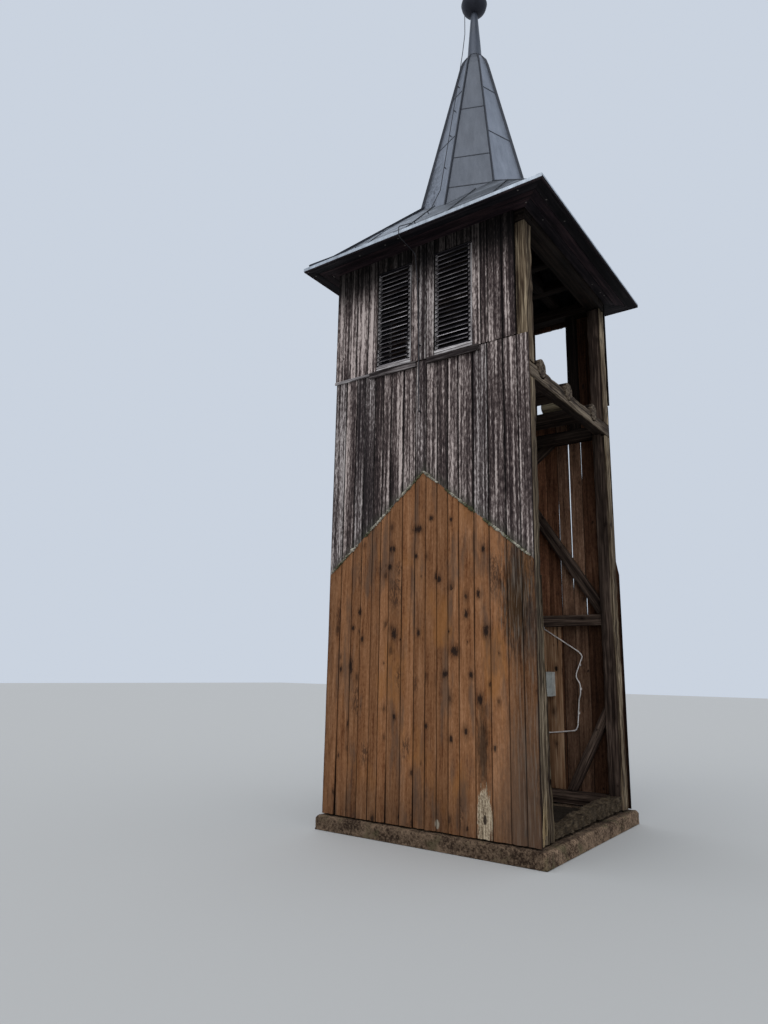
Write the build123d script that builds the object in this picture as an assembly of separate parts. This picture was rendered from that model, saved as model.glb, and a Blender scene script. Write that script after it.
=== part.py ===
from build123d import *
import os
from math import asin, cos, hypot, pi, radians, sin, sqrt, tan

# A timber bell tower on a square plan. Millimetres, +Z up. The origin is the centre of the
# base at ground level, +X runs to the right along the front and +Y goes to the back.

# Base
frame_width = 2380            # over the outer faces of the corner posts
plinth_height = 150
plinth_ledge = 80             # the plinth stands out this far beyond the frame
plinth_thickness = 330
floor_step = 12               # the floor lies this much below the top of the plinth
ground_edge = 25              # chamfer along the plinth's top

# Timber frame
post_width = 180
post_chamfer = 14
sill_height = 140
sill_width = 140
old_sill_height = 100         # what is left of the open side's sill, at its front end
old_sill_rise = 85            # it is this much higher at the back
old_sill_width = 170
rail_bottom = 2160
rail_height = 135
rail_width = 100
belt_bottom = 4450
belt_height = 150
belt_width = 140
belt_lap = 60                 # how deep a belt beam is let into a post
plate_height = 140
log_diameter = 200
log_above_belt = 10           # the logs' axis above the top of the belt beams
log_overhang = 6
log_distances = (330, 1040, 1810)   # from the frame's front face to each log's axis
timber_gap = 0.5              # play in a round housing

# Braces in the back wall
brace_width = 130
brace_depth = 90
brace_foot_above_rail = 35    # where the long brace meets the back right post
brace_head_reach = -360       # where it meets the belt beam, measured from the middle
knee_width = 110
knee_foot_reach = 560         # where the knee brace stands on the sill
knee_head_height = 1180
upper_brace_foot = 3370       # where the upper brace meets the back left post
upper_brace_reach = 385       # where it meets the belt beam
stud_width = 125              # the studs between the back wall's windows and its corners
stud_depth = 110
stud_place = 768

# Boards
board_thickness = 24
upper_board_thickness = 34
boards_foot_gap = 2           # between the plinth and the boards' lower ends
joint_above_belt = 265        # the upper boards begin here, a little proud of the lower ones
lost_board_width = 125        # the missing upper board beside the right front post
front_overlap = 12            # the front boards reach this far past the right hand posts

# Louvre windows
window_width = 460
window_above_joint = 10       # from the joint of the boards to the opening
window_below_plate = 58       # from the opening to the top plates
front_window_places = (-402, 358)
back_window_places = (-460, 460)
left_window_places = (-400, 400)
louvre_jamb = 40
louvre_rail = 55
louvre_depth = 46
louvre_count = 20
slat_thickness = 8
slat_width = 52
slat_tilt = 42
louvre_play = 0.5
window_sill_width = 630
window_sill_depth = 28
window_sill_drop = 65         # it reaches this far below the joint of the boards

# Inside the back wall
lining_left = -120
lining_right = 470
lining_plank_width = 195
lining_thickness = 25
box_width = 190
box_height = 285
box_depth = 95
box_right_edge = 380
box_bottom = 1335
cable_radius = 7
cord_sides = 8                # the cable and the wire are drawn with this many flat sides
cable_bend = 120
clip_size = 14

# Roof
wall_to_eave = 336            # from the frame to the edge of the eaves
eave_height = 6305            # the upper edge of the eaves
fascia_height = 48
fascia_thickness = 24
soffit_thickness = 23
low_pitch = 37.5              # the bell-cast foot of the skirt roof
low_pitch_run = 234
main_pitch = 46.1
skirt_thickness = 30
skirt_peak_half = 60          # the main slope is drawn up to here and cut off by the spire
spire_rise = 3405             # from the eaves to the top of the spire
spire_top_radius = 100
shoulder_drops = (200, 100)   # the spire draws in above these places, below its top
shoulder_radii = (178, 146)
spire_taper_ratio = 0.237     # radius lost for each unit of height
spire_thickness = 25
seam_height = 30
seam_thickness = 14
beam_width = 120
beam_height = 140
beam_offset = 600
rafter_width = 80
rafter_depth = 100
mast_width = 110
mast_below_top = 240          # the mast ends this far below the spire's top

# Neck, ball and lightning conductor
neck_foot_radius = 95
neck_top_radius = 48
round_sides = 32              # the neck and the ball are drawn with this many flat sides
ball_radius = 172
ball_rise = 880               # from the spire's top to the ball's centre
ball_rings = 15               # flat rings from its seat to its pole
ball_band_height = 16
ball_band_proud = 5
wire_radius = 5
wire_x = -130                 # where the wire crosses the spire, the skirt and the eaves
wire_neck_reach = 95          # beside the neck, along X and along Y
wire_collar_reach = 118       # beside the neck's foot
wire_into_ball = 45
wire_bend_rises = (380, 80)   # above the spire's top
wire_face_drops = (500, 2380)  # below the spire's top
wire_skirt_reach = 880        # where the wire comes down to the skirt
wall_clips = ((-71, 5830), (-45, 5040), (-40, 4280))   # places along X and heights
wire_lead = 320               # from the first wall clip up to the bend under the eaves
wire_bend = 60
clip_radius = 6
spire_clip_drops = (550, 1000, 1450, 2000)   # below the spire's top
skirt_clip_shares = (0.12, 0.8)   # along the wire's run up the main slope
wire_offset = 34              # the wire's distance from the surface that it runs along

frame_half = frame_width / 2
post_inner = frame_half - post_width
plinth_half = frame_half + plinth_ledge
belt_top = belt_bottom + belt_height
sill_top = plinth_height + sill_height
eave_half = frame_half + wall_to_eave
soffit_bottom = eave_height - fascia_height
plate_top = soffit_bottom + soffit_thickness
plate_bottom = plate_top - plate_height
skirt_break_half = eave_half - low_pitch_run
skirt_break_height = eave_height + low_pitch_run * tan(radians(low_pitch))
boards_foot = plinth_height + boards_foot_gap
beams_bottom = plate_top
beams_top = beams_bottom + beam_height
wall_top = soffit_bottom
boards_joint = belt_top + joint_above_belt
window_bottom = boards_joint + window_above_joint
window_top = plate_bottom - window_below_plate
spire_top = eave_height + spire_rise
mast_top = spire_top - mast_below_top
ball_centre = spire_top + ball_rise
ball_seat = ball_centre - sqrt(ball_radius ** 2 - neck_top_radius ** 2)
log_places = [distance - frame_half for distance in log_distances]
face_turn = radians(22.5)     # from a corner of the spire's plan to the middle of its face


def block(x, y, z):
    """A box between two limits along each axis."""
    size = [abs(high - low) for low, high in (x, y, z)]
    centre = [(low + high) / 2 for low, high in (x, y, z)]
    return Pos(*centre) * Box(*size)


def turned(shape, quarter):
    """The shape turned about the tower's axis by quarter turns."""
    return Rot(0, 0, 90 * quarter) * shape


def square_frustum(low_half, high_half, low, high, turn=0):
    """A square pyramid cut off at the top, with flat sides."""
    inset = low_half - high_half
    wedge = Wedge(2 * low_half, high - low, 2 * low_half,
                  inset, inset, low_half + high_half, low_half + high_half)
    return Rot(0, 0, turn) * Pos(0, 0, (low + high) / 2) * Rot(90, 0, 0) * wedge


def octagon_frustum(low_radius, high_radius, low, high):
    """An eight-sided pyramid with its corners over the sides' middles and the square's corners."""
    to_face = cos(face_turn)
    first = square_frustum(low_radius * to_face, high_radius * to_face, low, high, 22.5)
    second = square_frustum(low_radius * to_face, high_radius * to_face, low, high, 67.5)
    return first & second


def upright(points, thickness, turn=0):
    """A plank in a vertical plane through the tower's axis, from its outline of reach and height."""
    outline = make_face(Plane.XZ * Polyline(*points, close=True))
    plank = extrude(outline, amount=thickness / 2, both=True)
    return Rot(0, 0, turn) * plank


def spire_radius(height):
    """From the axis to a corner of the spire, below its shoulder."""
    return shoulder_radii[0] + spire_taper_ratio * (spire_top - shoulder_drops[0] - height)


def skirt_height(half):
    """Height of the skirt's surface where it is half wide from the middle."""
    if half >= skirt_break_half:
        return eave_height + (eave_half - half) * tan(radians(low_pitch))
    return skirt_break_height + (skirt_break_half - half) * tan(radians(main_pitch))


# Plinth and floor
def make_plinth():
    outside = (-plinth_half, plinth_half)
    hollow = (plinth_thickness - plinth_half, plinth_half - plinth_thickness)
    cast = block(outside, outside, (0, plinth_height))
    rim = cast.edges().filter_by(Plane.XY).group_by(Axis.Z)[-1]
    cast = chamfer(rim, ground_edge)
    return cast - block(hollow, hollow, (-1, plinth_height + 1))


def make_floor():
    across = (plinth_thickness - plinth_half, plinth_half - plinth_thickness)
    return block(across, across, (0, plinth_height - floor_step))


# Posts, sills and rails
def side_belt_block(side):
    x = sorted((side * frame_half, side * (frame_half - belt_width)))
    return block(x, (-frame_half, frame_half), (belt_bottom, belt_top))


def make_post(side, end):
    x = sorted((side * frame_half, side * post_inner))
    y = sorted((end * frame_half, end * post_inner))
    post = block(x, y, (plinth_height, plate_bottom))
    post = chamfer(post.edges().filter_by(Axis.Z), post_chamfer)
    lap_x = sorted((side * (frame_half + 1), side * (frame_half - belt_lap)))
    lap_y = sorted((end * (frame_half + 1), end * (post_inner - 1)))
    return post - block(lap_x, lap_y, (belt_bottom, belt_top))


def make_sills():
    length = (-post_inner, post_inner)
    depth = (-frame_half, sill_width - frame_half)
    sill = block(length, depth, (plinth_height, sill_top))
    return [turned(sill, quarter) for quarter in (0, 2, 3)]


def make_old_sill():
    """The sill of the open side has rotted down to an uneven beam, lowest at the front."""
    end = post_inner
    top = plinth_height + old_sill_height
    back = top + old_sill_rise
    outline = Polyline((-end, plinth_height), (-end, top - 6), (-0.6 * end, top + 30),
                       (-0.2 * end, top + 40), (0.15 * end, back - 18), (0.58 * end, back + 6),
                       (end, back - 8), (end, plinth_height), close=True)
    face = Plane.YZ * make_face(outline)
    return Pos(frame_half, 0, 0) * extrude(face, amount=old_sill_width, dir=(-1, 0, 0))


def make_rails():
    length = (-post_inner, post_inner)
    depth = (-frame_half, rail_width - frame_half)
    rail = block(length, depth, (rail_bottom, rail_bottom + rail_height))
    return [turned(rail, quarter) for quarter in (0, 2, 3)]


# Belt beams, floor logs and top plates
def floor_log(place, radius):
    length = 2 * frame_half + log_overhang
    axis_height = belt_top + log_above_belt
    return Pos(log_overhang / 2, place, axis_height) * Rot(0, 90, 0) * Cylinder(radius, length)


def make_side_belt(side):
    beam = side_belt_block(side)
    for end in (-1, 1):
        core_x = sorted((side * (frame_half - belt_lap), side * (post_inner - belt_width)))
        core_y = sorted((end * (frame_half + 1), end * post_inner))
        beam -= block(core_x, core_y, (belt_bottom - 1, belt_top + 1))
    for place in log_places:
        beam -= floor_log(place, log_diameter / 2 + timber_gap)
    return beam


def make_end_belt(end):
    y = sorted((end * frame_half, end * (frame_half - belt_width)))
    return block((-post_inner, post_inner), y, (belt_bottom, belt_top))


def make_floor_logs():
    stop = block((-frame_half, frame_half + log_overhang), (-frame_half, frame_half),
                 (belt_bottom, belt_top + log_diameter))
    return [floor_log(place, log_diameter / 2) & stop for place in log_places]


def make_side_plate(side):
    """A plate with the upper half of each end cut away for the crossing plate."""
    x = sorted((side * frame_half, side * post_inner))
    plate = block(x, (-frame_half, frame_half), (plate_bottom, plate_top))
    half_way = plate_bottom + plate_height / 2
    for end in (-1, 1):
        y = sorted((end * (frame_half + 1), end * post_inner))
        plate -= block((x[0] - 1, x[1] + 1), y, (half_way, plate_top + 1))
    return plate


def make_end_plate(end):
    y = sorted((end * frame_half, end * post_inner))
    plate = block((-frame_half, frame_half), y, (plate_bottom, plate_top))
    half_way = plate_bottom + plate_height / 2
    for side in (-1, 1):
        x = sorted((side * (frame_half + 1), side * post_inner))
        plate -= block(x, (y[0] - 1, y[1] + 1), (plate_bottom - 1, half_way))
    return plate


# Braces of the back wall, in the depth of its posts
def slanted_timber(start, finish, width, depth):
    """A timber between two points of the back wall's plane, longer than needed at both ends."""
    run = finish[0] - start[0]
    rise = finish[1] - start[1]
    length = hypot(run, rise)
    over = width / length * 2
    ends = [(start[0] - run * over, start[1] - rise * over),
            (finish[0] + run * over, finish[1] + rise * over)]
    across = (-rise / length * width / 2, run / length * width / 2)
    corners = [(ends[0][0] + across[0], ends[0][1] + across[1]),
               (ends[1][0] + across[0], ends[1][1] + across[1]),
               (ends[1][0] - across[0], ends[1][1] - across[1]),
               (ends[0][0] - across[0], ends[0][1] - across[1])]
    face = make_face(Plane.XZ * Polyline(*corners, close=True))
    return Pos(0, frame_half, 0) * extrude(face, amount=depth, dir=(0, -1, 0))


def make_crossing_braces():
    """The long brace and the upper brace, halved into each other where they cross."""
    rail_top = rail_bottom + rail_height
    bay = block((-post_inner, post_inner), (0, frame_half), (rail_top, belt_bottom))
    foot = (post_inner, rail_top + brace_foot_above_rail)
    first = bay & slanted_timber(foot, (brace_head_reach, belt_bottom), brace_width, brace_depth)
    second = bay & slanted_timber((-post_inner, upper_brace_foot),
                                  (upper_brace_reach, belt_bottom), brace_width, brace_depth)
    across = (-frame_half, frame_half)
    half_way = frame_half - brace_depth / 2
    outer_half = block(across, (half_way, frame_half + 1), (rail_top, belt_bottom))
    inner_half = block(across, (0, half_way), (rail_top, belt_bottom))
    return first - (second & outer_half), second - (first & inner_half)


def make_knee_brace():
    timber = slanted_timber((knee_foot_reach, sill_top), (post_inner, knee_head_height),
                            knee_width, brace_depth)
    bay = block((-post_inner, post_inner), (0, frame_half), (sill_top, rail_bottom))
    return timber & bay


def make_stud(place):
    return block((place - stud_width / 2, place + stud_width / 2),
                 (frame_half - stud_depth, frame_half), (belt_top, plate_bottom))


# Board walls, as plain slabs. A wall of the belfry has its window openings cut through.
def window_hole(place):
    across = (place - window_width / 2, place + window_width / 2)
    reach = frame_half + 2 * upper_board_thickness
    return block(across, (-reach, 1 - frame_half), (window_bottom, window_top))


def board_wall(left, right, thickness, low, high):
    return block((left, right), (-frame_half - thickness, -frame_half), (low, high))


def make_front_lower():
    return board_wall(-frame_half - board_thickness, frame_half + front_overlap,
                      board_thickness, boards_foot, boards_joint)


def make_front_upper():
    wall = board_wall(-frame_half - upper_board_thickness,
                      frame_half + front_overlap - lost_board_width,
                      upper_board_thickness, boards_joint, wall_top)
    for place in front_window_places:
        wall -= window_hole(place)
    return wall


def make_left_lower():
    wall = board_wall(-frame_half, frame_half, board_thickness, boards_foot, boards_joint)
    return turned(wall, 3)


def make_left_upper():
    wall = board_wall(-frame_half, frame_half, upper_board_thickness, boards_joint, wall_top)
    for place in left_window_places:
        wall -= window_hole(place)
    return turned(wall, 3)


def make_back_lower():
    wall = board_wall(-frame_half, frame_half + board_thickness, board_thickness,
                      boards_foot, boards_joint)
    return turned(wall, 2)


def make_back_upper():
    wall = board_wall(-frame_half, frame_half + upper_board_thickness,
                      upper_board_thickness, boards_joint, wall_top)
    for place in back_window_places:
        wall -= window_hole(place)
    return turned(wall, 2)


# Louvres: a rail at the head and foot, two jambs, and sloping slats let into the jambs
def make_louvre(place):
    half = window_width / 2 - louvre_play
    low = window_bottom + louvre_play
    high = window_top - louvre_play
    front = -frame_half - upper_board_thickness
    depth = (front, front + louvre_depth)
    frame = block((-half, half), depth, (low, high))
    gap_half = half - louvre_jamb
    frame -= block((-gap_half, gap_half), (front - 1, front + louvre_depth + 1),
                   (low + louvre_rail, high - louvre_rail))
    pitch = (high - low - 2 * louvre_rail) / louvre_count
    middle = front + louvre_depth / 2
    for number in range(louvre_count):
        height = low + louvre_rail + (number + 0.5) * pitch
        slat = Box(2 * gap_half + louvre_jamb, slat_width, slat_thickness)
        frame += Pos(0, middle, height) * Rot(slat_tilt, 0, 0) * slat
    return Pos(place, 0, 0) * frame


def make_window_sill(place):
    """A board under the louvre, over the joint of the thin and the thick boards."""
    face = -frame_half - upper_board_thickness - window_sill_depth
    across = (place - window_sill_width / 2, place + window_sill_width / 2)
    upper = block(across, (face, -frame_half - upper_board_thickness),
                  (boards_joint, window_bottom))
    return upper + block(across, (face, -frame_half - board_thickness),
                         (boards_joint - window_sill_drop, boards_joint))


# Planks, meter box and cable on the inside of the back wall
def make_lining():
    count = round((lining_right - lining_left) / lining_plank_width)
    planks = []
    for number in range(count):
        right = lining_right - number * lining_plank_width
        planks.append(block((right - lining_plank_width + 1, right),
                            (frame_half - lining_thickness, frame_half),
                            (sill_top, rail_bottom)))
    return planks


def make_meter_box():
    back = frame_half - lining_thickness
    body = block((box_right_edge - box_width, box_right_edge), (back - box_depth, back),
                 (box_bottom, box_bottom + box_height))
    return fillet(body.edges().filter_by(Axis.Y), 12)


cable_depth = frame_half - lining_thickness - cable_radius
cable_points = [(262, rail_bottom), (262, 2135), (682, 1865), (735, 1811), (650, 1610),
                (648, 1555), (694, 1487), (691, 1372), (671, 1303), (646, 1008), (620, 955),
                (275, 910), (230, 950), (230, box_bottom)]
clip_runs = (3, 6, 8)         # the corners of the route that a clip follows


def bend_radii(corners, largest):
    """A radius for each corner of a route, as large as its two runs allow."""
    radii = []
    for before, corner, after in zip(corners, corners[1:], corners[2:]):
        first = Vector(*corner) - Vector(*before)
        second = Vector(*after) - Vector(*corner)
        half_turn = radians(first.get_angle(second)) / 2
        radii.append(min(largest, 0.45 * min(first.length, second.length) / tan(half_turn)))
    return radii


def make_cable():
    corners = [(x, cable_depth, z) for x, z in cable_points]
    path = FilletPolyline(*corners, radius=bend_radii(corners, cable_bend))
    start = Plane(origin=path @ 0, z_dir=path % 0)
    return sweep(start * RegularPolygon(cable_radius, cord_sides), path=path)


def make_cable_clips():
    """Small saddles that hold the cable off the boards beside the planks."""
    clips = []
    for corner in clip_runs:
        (low_x, low_z), (high_x, high_z) = cable_points[corner:corner + 2]
        x, z = (low_x + high_x) / 2, (low_z + high_z) / 2
        clips.append(block((x - clip_size / 2, x + clip_size / 2),
                           (cable_depth + cable_radius, frame_half),
                           (z - clip_size, z + clip_size)))
    return clips


# Roof frame: a grid of beams on the plates, the mast on its middle, and backed rafters
def grid_beam_x(place):
    return block((-frame_half, frame_half),
                 (place - beam_width / 2, place + beam_width / 2), (beams_bottom, beams_top))


def grid_beam_y(place):
    return block((place - beam_width / 2, place + beam_width / 2),
                 (-frame_half, frame_half), (beams_bottom, beams_top))


def make_grid():
    """Both layers of beams, halved into each other where they cross."""
    half_way = beams_bottom + beam_height / 2
    upper = block((-eave_half, eave_half), (-eave_half, eave_half), (half_way, beams_top + 1))
    lower = block((-eave_half, eave_half), (-eave_half, eave_half), (beams_bottom - 1, half_way))
    places = (-beam_offset, 0, beam_offset)
    crossing_y = Part() + [grid_beam_y(place) for place in places]
    crossing_x = Part() + [grid_beam_x(place) for place in places]
    along_x = [grid_beam_x(place) - (crossing_y & upper) for place in places]
    along_y = [grid_beam_y(place) - (crossing_x & lower) for place in places]
    return along_x, along_y


beams_x, beams_y = make_grid()
inner_drop = spire_thickness / cos(face_turn)


def spire_sections(low):
    """Radii and heights of the spire from a level up to its top, where it draws in."""
    shoulder = [(radius, spire_top - drop)
                for radius, drop in zip(shoulder_radii, shoulder_drops)]
    return [(spire_radius(low), low)] + shoulder + [(spire_top_radius, spire_top)]


def spire_solid(inset=0, low=beams_top):
    sections = spire_sections(low)
    solid = Part()
    for (wide, foot), (narrow, head) in zip(sections, sections[1:]):
        solid += octagon_frustum(wide - inset, narrow - inset, foot, head)
    return solid


def skirt_surface_solid():
    """All that lies under the main slope of the skirt."""
    slope = square_frustum(skirt_break_half, skirt_peak_half,
                           skirt_break_height, skirt_height(skirt_peak_half))
    across = (-skirt_break_half, skirt_break_half)
    return slope + block(across, across, (beams_bottom, skirt_break_height))


def make_mast():
    return block((-mast_width / 2, mast_width / 2), (-mast_width / 2, mast_width / 2),
                 (beams_top, mast_top))


def make_spire_rafters():
    """Eight rafters from the beam grid to the mast, dressed to fit into the spire's corners."""
    room = spire_solid(inner_drop)
    mast = make_mast()
    low_reach = spire_radius(beams_top)
    high_reach = spire_radius(mast_top)
    rafters = []
    for corner in range(8):
        outline = [(low_reach - rafter_depth, beams_top), (low_reach, beams_top),
                   (high_reach, mast_top), (high_reach - rafter_depth, mast_top)]
        plank = upright(outline, rafter_width / 2, 45 * corner)
        rafters.append((plank & room) - mast)
    return rafters


def make_skirt_rafters():
    """Eight rafters under the skirt, from the eaves over the plates to the spire's rafters."""
    room = spire_solid(inner_drop, beams_bottom)
    for quarter in range(4):
        room += make_skirt_panel(quarter)
    for beam in beams_x + beams_y + [make_fascia()]:
        room += beam
    rafters = []
    for corner in range(8):
        stretch = sqrt(2) if corner % 2 else 1
        drop = skirt_thickness / cos(radians(main_pitch))
        low_drop = skirt_thickness / cos(radians(low_pitch))
        near_eave = eave_half - fascia_thickness
        outline = [(near_eave * stretch, plate_top),
                   (near_eave * stretch, max(plate_top, skirt_height(near_eave) - low_drop)),
                   (skirt_break_half * stretch, skirt_break_height - drop),
                   (beam_offset * stretch, skirt_height(beam_offset) - drop),
                   (beam_offset * stretch, skirt_height(beam_offset) - drop - rafter_depth),
                   (frame_half * stretch, plate_top)]
        pieces = (upright(outline, rafter_width, 45 * corner) - room).solids()
        rafters.append(pieces.sort_by(SortBy.VOLUME)[-1])
    return rafters


# Eaves, skirt roof and spire
def make_soffit():
    half = eave_half - fascia_thickness
    gap = frame_half
    z = (soffit_bottom, plate_top)
    sheet = block((-half, half), (-half, half), z)
    return sheet - block((-gap, gap), (-gap, gap), (z[0] - 1, z[1] + 1))


def make_fascia():
    half = eave_half
    inner = half - fascia_thickness
    z = (soffit_bottom, eave_height)
    ring = block((-half, half), (-half, half), z)
    ring -= block((-inner, inner), (-inner, inner), (z[0] - 1, z[1] + 1))
    for quarter in range(4):
        ring -= make_skirt_panel(quarter)
    return ring


def make_skirt_panel(quarter):
    """One side of the skirt roof, mitred at its hips and cut round the spire."""
    drop_low = skirt_thickness / cos(radians(low_pitch))
    drop = skirt_thickness / cos(radians(main_pitch))
    peak = skirt_height(skirt_peak_half)
    outline = [(-eave_half, eave_height), (-skirt_break_half, skirt_break_height),
               (-skirt_peak_half, peak), (-skirt_peak_half, peak - drop),
               (-skirt_break_half, skirt_break_height - drop),
               (-eave_half + fascia_thickness, eave_height - drop_low + fascia_thickness)]
    face = make_face(Plane.YZ * Polyline(*outline, close=True))
    panel = extrude(face, amount=eave_half, both=True)
    mitre = make_face(Polyline((0, 0), (-2 * eave_half, -2 * eave_half),
                               (2 * eave_half, -2 * eave_half), close=True))
    panel = panel & extrude(mitre, amount=spire_top, dir=(0, 0, 1))
    return turned(panel, quarter) - spire_solid(inner_drop, soffit_bottom)


def make_spire():
    shell = spire_solid() - spire_solid(inner_drop)
    return shell - skirt_surface_solid()


def make_spire_seams():
    """The standing seams along the eight corners of the spire."""
    body = spire_solid()
    skirt = skirt_surface_solid()
    sections = spire_sections(beams_top)
    inner = [(radius - seam_height, height) for radius, height in sections]
    outer = [(radius + seam_height, height) for radius, height in sections]
    outer[-1] = (neck_foot_radius + seam_thickness, spire_top)
    seam = upright(inner + outer[::-1], seam_thickness)
    return [(Rot(0, 0, 45 * corner) * seam) - body - skirt for corner in range(8)]


def ring_corners(radius, height):
    """The corners of a level polygon about the tower's axis."""
    turns = [2 * pi * number / round_sides for number in range(round_sides)]
    return [Vector(radius * cos(turn), radius * sin(turn), height) for turn in turns]


def flat_sided(sections):
    """A solid with flat faces between level polygons, from their radii and heights."""
    rings = [ring_corners(radius, height) for radius, height in sections]
    outlines = [rings[0], rings[-1]]
    for low, high in zip(rings, rings[1:]):
        for first in range(round_sides):
            second = (first + 1) % round_sides
            outlines.append((low[first], low[second], high[second], high[first]))
    faces = [make_face(Polyline(*outline, close=True)).face() for outline in outlines]
    return Solid(Shell(faces))


def make_neck():
    """The tapered neck between the spire and the ball."""
    return flat_sided([(neck_foot_radius, spire_top), (neck_top_radius, ball_seat)])


def make_ball():
    """Two beaten hemispheres joined by a narrow band, flattened where they sit on the neck."""
    seat_turn = asin(neck_top_radius / ball_radius)
    last = pi - seat_turn / 4
    sections = []
    for number in range(ball_rings + 1):
        turn = seat_turn + (last - seat_turn) * number / ball_rings
        sections.append((ball_radius * sin(turn), ball_centre - ball_radius * cos(turn)))
    half_band = ball_band_height / 2
    band = flat_sided([(ball_radius + ball_band_proud, ball_centre - half_band),
                       (ball_radius + ball_band_proud, ball_centre + half_band)])
    return flat_sided(sections) + band


def face_reach(height):
    """How far the front left face of the spire stands forward, along Y, where the wire runs."""
    apothem = spire_radius(height) * cos(face_turn)
    return (apothem + sin(face_turn) * wire_x) / cos(face_turn)


wire_wall_y = -(frame_half + upper_board_thickness + wire_offset)
wire_eave_y = -(eave_half + 24)
wall_clip_boards = (upper_board_thickness, upper_board_thickness, board_thickness)
wire_upper = spire_top - wire_face_drops[0]
wire_lower = spire_top - wire_face_drops[1]
wire_points = [(-wire_neck_reach, -wire_neck_reach, ball_seat + wire_into_ball),
               (-wire_neck_reach, -wire_neck_reach, spire_top + wire_bend_rises[0]),
               (-wire_collar_reach, -wire_collar_reach, spire_top + wire_bend_rises[1]),
               (wire_x, -face_reach(wire_upper) - wire_offset, wire_upper),
               (wire_x, -face_reach(wire_lower) - wire_offset, wire_lower),
               (wire_x, -wire_skirt_reach, skirt_height(wire_skirt_reach) + 1.4 * wire_offset),
               (wire_x, -skirt_break_half, skirt_break_height + 1.3 * wire_offset),
               (wire_x, wire_eave_y, eave_height + wire_offset),
               (wire_x, wire_eave_y, soffit_bottom - wire_offset),
               (wire_x / 2 + wall_clips[0][0] / 2, wire_wall_y, wall_clips[0][1] + wire_lead)]
wire_points += [(x, wire_wall_y, height) for x, height in wall_clips]


def make_wire():
    path = FilletPolyline(*wire_points, radius=bend_radii(wire_points, wire_bend))
    start = Plane(origin=path @ 0, z_dir=path % 0)
    return sweep(start * RegularPolygon(wire_radius, cord_sides), path=path)


def clip_rod(point, direction, body):
    """A round stem from the wire down to the surface of the body that carries it."""
    length = 2 * wire_offset
    start = Plane(origin=point, z_dir=direction) * Pos(0, 0, wire_radius)
    return extrude(start * RegularPolygon(clip_radius, cord_sides), amount=length) - body


def make_conductor_clips():
    clips = []
    spire = spire_solid()
    lean = spire_taper_ratio * cos(face_turn)
    face_inward = (sin(face_turn), cos(face_turn), -lean)
    for drop in spire_clip_drops:
        height = spire_top - drop
        point = (wire_x, -face_reach(height) - wire_offset, height)
        clips.append(clip_rod(point, face_inward, spire))
    skirt = skirt_surface_solid()
    slope = Vector(0, -sin(radians(main_pitch)), cos(radians(main_pitch)))
    low, high = wire_points[6], wire_points[5]
    for share in skirt_clip_shares:
        point = Vector(*low) + (Vector(*high) - Vector(*low)) * share
        clips.append(clip_rod(point, -slope, skirt))
    for (x, z), thickness in zip(wall_clips, wall_clip_boards):
        face = -frame_half - thickness
        clips.append(block((x - clip_radius, x + clip_radius), (wire_wall_y + wire_radius, face),
                           (z - clip_radius, z + clip_radius)))
    return clips


def save(name, shapes):
    """Write one node, as one solid or as a group of solids."""
    parts = shapes if isinstance(shapes, list) else [shapes]
    solids = []
    for part in parts:
        solids += part.solids()
    whole = solids[0] if len(solids) == 1 else Compound(children=solids)
    export_step(whole, f"parts/{name}.step")


os.makedirs("parts", exist_ok=True)

save("plinth", make_plinth())
save("floor_slab", make_floor())
for side, side_name in ((-1, "left"), (1, "right")):
    for end, end_name in ((-1, "front"), (1, "back")):
        save(f"post_{end_name}_{side_name}", make_post(side, end))
save("sills", make_sills())
save("old_sill_right", make_old_sill())
save("mid_rails", make_rails())
for side, name in ((-1, "left"), (1, "right")):
    save(f"belt_beam_{name}", make_side_belt(side))
    save(f"plate_{name}", make_side_plate(side))
for end, name in ((-1, "front"), (1, "back")):
    save(f"belt_beam_{name}", make_end_belt(end))
    save(f"plate_{name}", make_end_plate(end))
save("floor_logs", make_floor_logs())
long_brace, upper_brace = make_crossing_braces()
save("long_brace", long_brace)
save("upper_brace", upper_brace)
save("knee_brace", make_knee_brace())
save("window_studs", [make_stud(-stud_place), make_stud(stud_place)])
save("front_wall_lower", make_front_lower())
save("front_wall_upper", make_front_upper())
save("left_wall_lower", make_left_lower())
save("left_wall_upper", make_left_upper())
save("back_wall_lower", make_back_lower())
save("back_wall_upper", make_back_upper())
save("front_louvres", [make_louvre(place) for place in front_window_places])
save("left_louvres", [turned(make_louvre(place), 3) for place in left_window_places])
save("back_louvre", turned(make_louvre(back_window_places[1]), 2))
save("window_sills", [make_window_sill(place) for place in front_window_places])
save("lining_planks", make_lining())
save("meter_box", make_meter_box())
save("cable", make_cable())
save("cable_clips", make_cable_clips())
save("roof_beams_across", beams_x)
save("roof_beams_along", beams_y)
save("mast", make_mast())
save("spire_rafters", make_spire_rafters())
save("skirt_rafters", make_skirt_rafters())
save("soffit", make_soffit())
save("fascia", make_fascia())
for quarter, name in enumerate(("front", "right", "back", "left")):
    save(f"skirt_roof_{name}", make_skirt_panel(quarter))
save("spire", make_spire())
save("spire_seams", make_spire_seams())
save("neck", make_neck())
save("ball", make_ball())
save("conductor", make_wire())
save("conductor_clips", make_conductor_clips())
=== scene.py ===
import math
import random

import bmesh
import bpy
import numpy as np
from mathutils import Matrix, Vector, noise


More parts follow.
